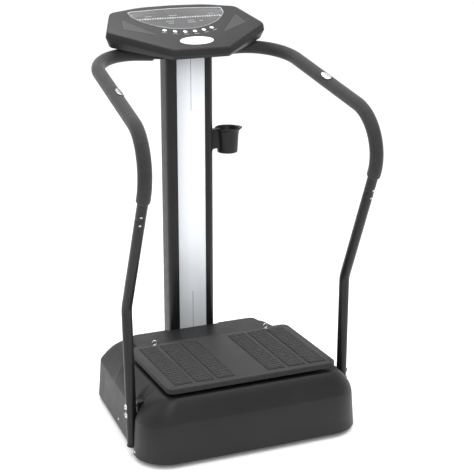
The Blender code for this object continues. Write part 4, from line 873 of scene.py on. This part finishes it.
def make_handlebar(side, across):
    path = bar_path(across)
    joint, down = at_height(path, BAR_JOINT_Z)
    gap, half_core = down * 0.0003, down * 0.004
    upper = [p for p in path if p.z > BAR_JOINT_Z + 0.002] + [joint - gap]
    lower = [joint + gap] + [p for p in path if p.z < BAR_JOINT_Z - 0.002]
    for part, points in (("upper", upper), ("lower", lower)):
        show(f"{side}_{part}_bar", tube(f"{side}_{part}_bar", points, TUBE_RADIUS, 0.0006), "paint",
             replaces=f"{side}_{part}_tube")
    core = tube(f"{side}_joint_core", [joint - half_core, joint + half_core], TUBE_RADIUS - 0.001)
    show(f"{side}_joint_core", core, "dark")

    grip = [from_x(path, across * FOAM_START_X)]
    grip += [p for p in path if abs(p.x) > FOAM_START_X + 0.001 and p.z > FOAM_END_Z + 0.002]
    grip = fine_ends(grip + [at_height(path, FOAM_END_Z)[0]], 0.0042)
    show(f"{side}_grip", tube(f"{side}_grip", grip, FOAM_RADIUS, 0.0040), "foam",
         replaces=f"{side}_foam_grip")

    plug = [(0.0, 0.0), (TUBE_RADIUS + 0.0008, 0.0), (TUBE_RADIUS + 0.0012, 0.0008),
            (TUBE_RADIUS + 0.0012, 0.0040), (TUBE_RADIUS + 0.0004, 0.0050), (TUBE_RADIUS - 0.001, 0.0052),
            (0.0, 0.0052)]
    foot = path[-1]
    show_turned(f"{side}_end_plug", plug, "fitting", 40,
                place=Matrix.Translation((foot.x, foot.y, foot.z - 0.0006)))

    head = dome_screw_mesh("joint_screw", 0.0036, 0.0018)
    outward = Vector((across * 0.25, -0.97, 0.0))
    for number, offset in enumerate((-0.013, 0.013), start=1):
        centre, along = at_height(path, BAR_JOINT_Z + offset)
        normal = (outward - along * outward.dot(along)).normalized()
        show(f"{side}_joint_screw_{number}", head.copy(), "chrome",
             place=facing(centre + normal * (TUBE_RADIUS - 0.0002), normal))
    make_bar_bolts(side, across, path)
    make_sensor(side, across, path)


def make_bar_bolts(side, across, path):
    """Two dome bolts with washers fix the handlebar's foot; they stand for the CAD's pair of bolts."""
    washer = [(0.0, 0.0), (0.0088, 0.0), (0.0090, 0.0003), (0.0090, 0.0010), (0.0086, 0.0013), (0.0, 0.0013)]
    head = dome_screw_mesh("bar_bolt_head", 0.0078, 0.0046)
    outward = Vector((across, 0, 0))
    for number, z in enumerate(BAR_BOLT_HEIGHTS, start=1):
        centre, _ = at_height(path, z)
        seat = Vector((centre.x + across * (TUBE_RADIUS - 0.0012), centre.y, z))
        show_turned(f"{side}_bolt_washer_{number}", washer, "chrome", 40, place=facing(seat, outward))
        show(f"{side}_bolt_head_{number}", head.copy(), "chrome",
             place=facing(seat + outward * 0.0013, outward),
             replaces=f"{side}_bar_bolts" if number == 1 else None)


def sensor_mesh(name, half_length, half_width, base, top, crown, gap=0.0, half=0):
    """A crowned oval, or the half of one beyond the gap, wrapped round the grip's axis."""
    lengths, widths, shoulder = 20, 14, 0.0012
    first = gap if half else -half_length

    def point(u, reach, step):
        v = reach * math.sin(math.pi / 2 * (2 * step / widths - 1))
        edge = min(reach - abs(v), half_length - abs(u), (u - gap) if half else 1.0)
        share = max(0.0, min(1.0, edge / shoulder))
        lift = top + crown * math.sqrt(1 - (1 - share) ** 2)
        return u * (half or 1), lift * math.sin(v / top), lift * math.cos(v / top)

    def build(bm):
        rows = []
        for station in range(lengths + 1):
            u = first + (half_length - first) * (0.5 - 0.5 * math.cos(math.pi * station / lengths))
            reach = half_width * math.sqrt(max(0.0, 1 - (u / half_length) ** 2))
            rows.append([bm.verts.new(point(u, reach, step)) for step in range(widths + 1)])
        add_strips(bm, rows)
        bmesh.ops.remove_doubles(bm, verts=bm.verts, dist=0.000002)
        rim = [e for e in bm.edges if e.is_boundary]
        made = bmesh.ops.extrude_edge_only(bm, edges=rim)["geom"]
        for vert in (v for v in made if isinstance(v, bmesh.types.BMVert)):
            radial = Vector((0.0, vert.co.y, vert.co.z)).normalized()
            vert.co = Vector((vert.co.x, 0, 0)) + radial * base

    return mesh_from(name, build, 55.0)


def make_sensor(side, across, path):
    """Hand pulse sensor: an oval housing bent round the grip, with two bright plates on it."""
    start, end = next((a, b) for a, b in zip(path, path[1:]) if a.y >= SENSOR_Y > b.y and a.z > 0.9)
    along = (end - start).normalized()
    outward = Vector((-across * 0.33, 0.0, 0.94))
    outward = (outward - along * outward.dot(along)).normalized()
    place = Matrix((along, outward.cross(along), outward)).transposed().to_4x4()
    place.translation = start.lerp(end, (start.y - SENSOR_Y) / (start.y - end.y))
    housing = sensor_mesh(f"{side}_sensor_base", 0.0270, 0.0133, TUBE_RADIUS, 0.0206, 0.0010)
    show(f"{side}_sensor_base", housing, "fitting", replaces=f"{side}_sensor_housing", place=place,
         slot="cover_plastic")
    for name, half in (("front", 1), ("rear", -1)):
        pad = sensor_mesh(f"{side}_{name}_sensor", 0.0245, 0.0112, 0.0200, 0.0217, 0.0008, 0.0016, half)
        show(f"{side}_{name}_sensor", pad, "chrome", replaces=f"{side}_{name}_sensor_plate", place=place)


# ---- console, in the frame of its sloping face: x across, y up the face, z out of it ---------------
CONSOLE = Matrix.Translation(CONSOLE_FRONT) @ Euler((CONSOLE_TILT, 0, 0)).to_matrix().to_4x4()


def console_outline(inset=0.0, height=0.0):
    """Outline at a height against the face; below it the front and sides stand upright in the world."""
    forward = -height * math.tan(CONSOLE_TILT)
    rear = CONSOLE_DEPTH - inset - forward * CONSOLE_REAR_SHARE
    half = [
        (0.0, CONSOLE_EDGE_Y + inset * 0.5 - forward, 0.0),
        (0.0905 - inset * 0.3, CONSOLE_EDGE_Y + inset * 0.5 - forward, 0.010),
        (0.256 - inset, 0.136 - forward, 0.018),
        (0.2065 - inset * 0.7, rear - 0.0285, 0.024),
        (0.108, rear - 0.0045, 0.300),
        (0.0, rear, 0.0),
    ]
    return level(rounded_outline(mirrored(half), 10, 4), height)


def console_underside(inset, lift=0.0):
    """The underside's outline; it is less steep than the face."""
    outline = console_outline(inset, -CONSOLE_SKIRT)
    return [(x, y, lift - CONSOLE_SKIRT - CONSOLE_SKIRT_SLOPE * y) for x, y, _ in outline]


def display_outline(inset, height):
    """A straight rear edge and a round front edge."""
    radius, half_width, rear = DISPLAY_ARC_RADIUS - inset, DISPLAY_HALF_WIDTH - inset, DISPLAY_REAR - inset
    limit = math.asin(half_width / radius)
    steps = 48
    points = []
    for step in range(steps + 1):
        angle = -limit + 2 * limit * step / steps
        points.append((radius * math.sin(angle), DISPLAY_ARC_CENTRE - radius * math.cos(angle), 0.0))
    points += [(half_width + 0.003, rear - 0.011, 0.008), (0.0, rear, 0.900),
               (-half_width - 0.003, rear - 0.011, 0.008)]
    return level(rounded_outline(points, 10), height)


def button_angles():
    return [(number - (BUTTON_COUNT - 1) / 2) * BUTTON_STEP for number in range(BUTTON_COUNT)]


def on_button_arc(angle, radius=BUTTON_ARC_RADIUS):
    return radius * math.sin(angle), DISPLAY_ARC_CENTRE - radius * math.cos(angle)


def make_console():
    """The upper shell with its wells, the lower shell, the seam between them, and what the face carries."""
    swell, edge_depth, edge_width = CONSOLE_FLARE, 0.0090, 0.0085
    rows = [console_outline(0.003 - swell, CONSOLE_SEAM), console_outline(0.0006 - swell, CONSOLE_SEAM),
            console_outline(-swell, CONSOLE_SEAM + 0.0006)]
    rows += [console_outline(edge_width * inward - 0.7 * swell, -edge_depth * down)
             for inward, down in quarter_round(8)]
    upper = show_solid("console_top", rows, "console", 40.0, replaces="console_upper_shell", place=CONSOLE)
    window = [display_outline(-0.0002, height) for height in (-0.0060, 0.02)]
    cutters = [link("window_cut", solid_mesh("window_cut", window), CONSOLE)]
    well_radius, well_depth = BUTTON_RADIUS + 0.0006, 0.0105
    well = [(0.0, -well_depth), (well_radius, -well_depth), (well_radius, 0.02), (0.0, 0.02)]
    for number, angle in enumerate(button_angles(), start=1):
        place = CONSOLE @ Matrix.Translation((*on_button_arc(angle), 0))
        cutters.append(link(f"button_cut_{number}", revolved(f"button_cut_{number}", well), place))
    cut_away(upper, cutters)
    upper.data.shade_smooth()
    upper.data.set_sharp_from_angle(angle=math.radians(30))
    soften(upper, 0.0006, 2, 32)

    rows = [console_underside(CONSOLE_LEAN + 0.0016), console_underside(CONSOLE_LEAN + 0.0004, 0.0006),
            console_underside(CONSOLE_LEAN - 0.0008, 0.0020), console_outline(-swell, CONSOLE_SEAM - 0.0012),
            console_outline(0.0006 - swell, CONSOLE_SEAM - 0.0006),
            console_outline(0.003 - swell, CONSOLE_SEAM - 0.0006)]
    show_solid("console_base", rows, "console", 40.0, replaces="console_lower_shell", place=CONSOLE)
    seam = [console_outline(0.0012 - swell, CONSOLE_SEAM - drop) for drop in (0.0010, -0.0004)]
    show_solid("console_seam", seam, "dark", place=CONSOLE, slot="cover_plastic")
    make_facets()
    make_display()
    make_buttons()
    make_badge()


def make_facets():
    """A triangular flat on each side of the face, paler as painted light: it stands for a tilted facet
    catching the light.
    """
    for side, across in SIDES:
        rows = []
        for inset, height in ((0.0, 0.0), (0.0, 0.0002), (0.0006, 0.0005), (0.0030, 0.0006)):
            corners = [(across * (0.187 - inset * 1.4), 0.203 - inset * 2.4, 0.003),
                       (across * (0.104 + inset * 2.6), 0.0945 + inset * 1.6, 0.002),
                       (across * (0.199 - inset * 1.2), 0.145, 0.003)]
            rows.append(level(rounded_outline(corners, 4), height))
        show_solid(f"{side}_facet", rows, "facet", place=CONSOLE)


def make_mark(name, place, half_length, half_height, height=0.0, turn=0.0):
    """A small printed bar with rounded corners, standing a hair proud of what it is on."""
    corner = min(half_length, half_height) * 0.6
    outline = rounded_box(-half_length, -half_height, half_length, half_height, corner, 3)
    spot = CONSOLE @ Matrix.Translation((*place, height)) @ Matrix.Rotation(turn, 4, "Z")
    show_solid(name, [level(outline, 0.0), level(outline, 0.0002)], "mark", place=spot)


def make_display():
    """Its bright rim and its window, with a row of indicator bars and plain dashes in place of words."""
    rim = [display_outline(inset, height) for inset, height in (
        (0.0, -0.0030), (0.0, 0.0002), (0.0006, 0.0010), (0.0022, 0.0010), (0.0030, 0.0002),
        (0.0030, -0.0030))]
    show("display_rim", ring_mesh("display_rim", rim, 50.0), "trim", place=CONSOLE, replaces="display_bezel")
    glass = [display_outline(inset, height) for inset, height in (
        (0.0031, -0.0032), (0.0031, -0.0008), (0.0036, -0.0004))]
    show_solid("display_window", glass, "window", place=CONSOLE, replaces="display_lens")
    face = -0.0003
    for number in range(34):
        half_height = 0.0034 + 0.0014 * ((number * 7) % 5 in (1, 3))
        make_mark(f"display_bar_{number + 1}", (-0.138 + number * 0.0082, 0.2010), 0.0026, half_height, face)
    dashes = ((-0.098, 0.2160, 0.022), (-0.018, 0.2160, 0.026), (0.108, 0.2160, 0.020),
              (-0.040, 0.1805, 0.024), (-0.040, 0.1685, 0.018), (0.028, 0.1805, 0.022),
              (0.028, 0.1685, 0.026), (0.060, 0.1745, 0.012))
    for number, (x, y, length) in enumerate(dashes, start=1):
        make_mark(f"display_dash_{number}", (x, y), length / 2, 0.0010, face)


def make_buttons():
    """Each round button has a low collar round it and a printed dash in front of it."""
    radius = BUTTON_RADIUS
    push = [(radius, -0.0080), (radius, 0.0006), (radius - 0.0004, 0.0012), (radius - 0.0012, 0.0016),
            (radius - 0.0022, 0.0019), (radius - 0.0040, 0.0021), (0.0, 0.0022)]
    collar = [(radius + 0.0005, -0.002), (radius + 0.0005, 0.0004), (radius + 0.0009, 0.0007),
              (radius + 0.0014, 0.0003), (radius + 0.0014, -0.002)]
    for number, angle in enumerate(button_angles(), start=1):
        spot = CONSOLE @ Matrix.Translation((*on_button_arc(angle), 0))
        button = f"button_{number}"
        show_turned(f"push_{number}", push, "button", 40, body=button, replaces=button, place=spot)
        show_turned(f"button_collar_{number}", collar, "console", 40, place=spot)
        label = on_button_arc(angle, BUTTON_ARC_RADIUS + 0.0145)
        make_mark(f"button_label_{number}", label, 0.0075, 0.0009, turn=angle)


def make_badge():
    rows = [oval(BADGE_HALF_LENGTH - inset, BADGE_HALF_WIDTH - inset, height, 64, BADGE_Y)
            for inset, height in ((0.0, 0.0001), (0.0, 0.0008), (0.0006, 0.0015), (0.0016, 0.0019),
                                  (0.0040, 0.0023), (0.0100, 0.0027), (0.0160, 0.0029))]
    show_solid("badge_oval", rows, "badge", place=CONSOLE, replaces="badge")


# ---- the rest of the CAD, the stage and the camera ------------------------------------------------
def paint_kept_nodes(nodes):
    """CAD nodes whose shape is already right keep it and get a finished material."""
    kept = {
        "paint": ["base_frame", "platform_frame", "bottom_pan", "motor_housing"],
        "steel": ["pivot_shaft", "rod_pin", "crank_shaft", "connecting_rod", "driven_pulley", "motor_pulley",
                  "motor_bracket", "front_pivot_bearing", "rear_pivot_bearing", "front_crank_bearing",
                  "rear_crank_bearing"],
        "rotor": ["motor_rotor"],
        "board": ["control_board", "display_board"],
        "foot": ["drive_belt"],
        "fitting": ["power_inlet"],
        "switch": ["power_switch"],
    }
    for look, names in kept.items():
        for name in names:
            materials = nodes[name].data.materials
            if not materials:
                materials.append(None)
            for index in range(len(materials)):
                materials[index] = LOOKS[look][0]
    finished = [material for material, _ in LOOKS.values()]
    for obj in nodes.values():
        if not obj.hide_render and all(material not in finished for material in obj.data.materials):
            raise ValueError(f"{obj.name} has no finished material")


def make_floor():
    mesh = bpy.data.meshes.new("floor")
    bm = bmesh.new()
    bmesh.ops.create_grid(bm, x_segments=1, y_segments=1, size=40.0)
    bm.to_mesh(mesh)
    bm.free()
    white = (1.0, 1.0, 1.0, 1.0)
    material, _, _ = blank_material("floor", (0.92, 0.92, 0.92), 0.7, Specular_IOR_Level=0.1,
                                    Emission_Color=white, Emission_Strength=0.10)
    mesh.materials.append(material)
    link("floor", mesh)


def make_world():
    """A white studio that gives less light from behind the viewer, so faces turned that way read dark."""
    world = bpy.data.worlds.new("studio")
    world.use_nodes = True
    tree = world.node_tree
    toward = tree.nodes.new("ShaderNodeVectorMath")
    toward.operation = "DOT_PRODUCT"
    toward.inputs[1].default_value = (0.0, 0.35, 0.94)
    tree.links.new(tree.nodes.new("ShaderNodeTexCoord").outputs["Generated"], toward.inputs[0])
    # seen directly it is an even white
    backdrop = tree.nodes.new("ShaderNodeMath")
    backdrop.operation = "MAXIMUM"
    tree.links.new(ranged(toward.outputs["Value"], 0.25, 1.25, -0.10, 0.85), backdrop.inputs[0])
    tree.links.new(tree.nodes.new("ShaderNodeLightPath").outputs["Is Camera Ray"], backdrop.inputs[1])
    background = tree.nodes["Background"]
    background.inputs["Color"].default_value = (1.0, 1.0, 1.0, 1.0)
    drive(background, "Strength", backdrop.outputs["Value"])
    bpy.context.scene.world = world


def make_softbox(name, place, target, size, watts):
    light = bpy.data.lights.new(name, "AREA")
    light.shape = "SQUARE"
    light.size = size
    light.energy = watts
    link(name, light, looking(place, Vector(target) - Vector(place)))


def looking(place, direction):
    return Matrix.Translation(place) @ direction.to_track_quat("-Z", "Y").to_matrix().to_4x4()


def make_stage():
    """A pale floor, a bright, even studio and four soft lights."""
    make_floor()
    make_world()
    make_softbox("top_light", (-0.3, 0.9, 3.4), (0.0, 0.0, 0.4), 2.2, 50.0)
    make_softbox("left_light", (-3.4, 0.3, 1.9), (0.0, 0.0, 0.6), 1.6, 9.0)
    make_softbox("shoulder_light", (1.25, -1.2, 2.9), (0.0, -0.3, 0.2), 1.6, 30.0)
    make_softbox("front_light", (-1.0, -3.0, 2.6), (0.0, 0.1, 0.6), 1.6, 45.0)
    bpy.context.scene.view_settings.view_transform = "Standard"


def make_camera():
    data = bpy.data.cameras.new("camera")
    data.lens = CAMERA_LENS
    data.sensor_width = 36.0
    forward = Vector((math.sin(CAMERA_TURN) * math.cos(CAMERA_PITCH),
                      math.cos(CAMERA_TURN) * math.cos(CAMERA_PITCH), -math.sin(CAMERA_PITCH)))
    bpy.context.scene.camera = link("camera", data, looking(CAMERA_PLACE, forward))


make_base_cover()
make_deck()
make_base_screws()
make_feet()
make_plate()
make_mats()
make_strap_rings()
make_column()
make_cup_holder()
for side, across in SIDES:
    make_handlebar(side, across)
make_console()
paint_kept_nodes(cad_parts)
make_stage()
make_camera()
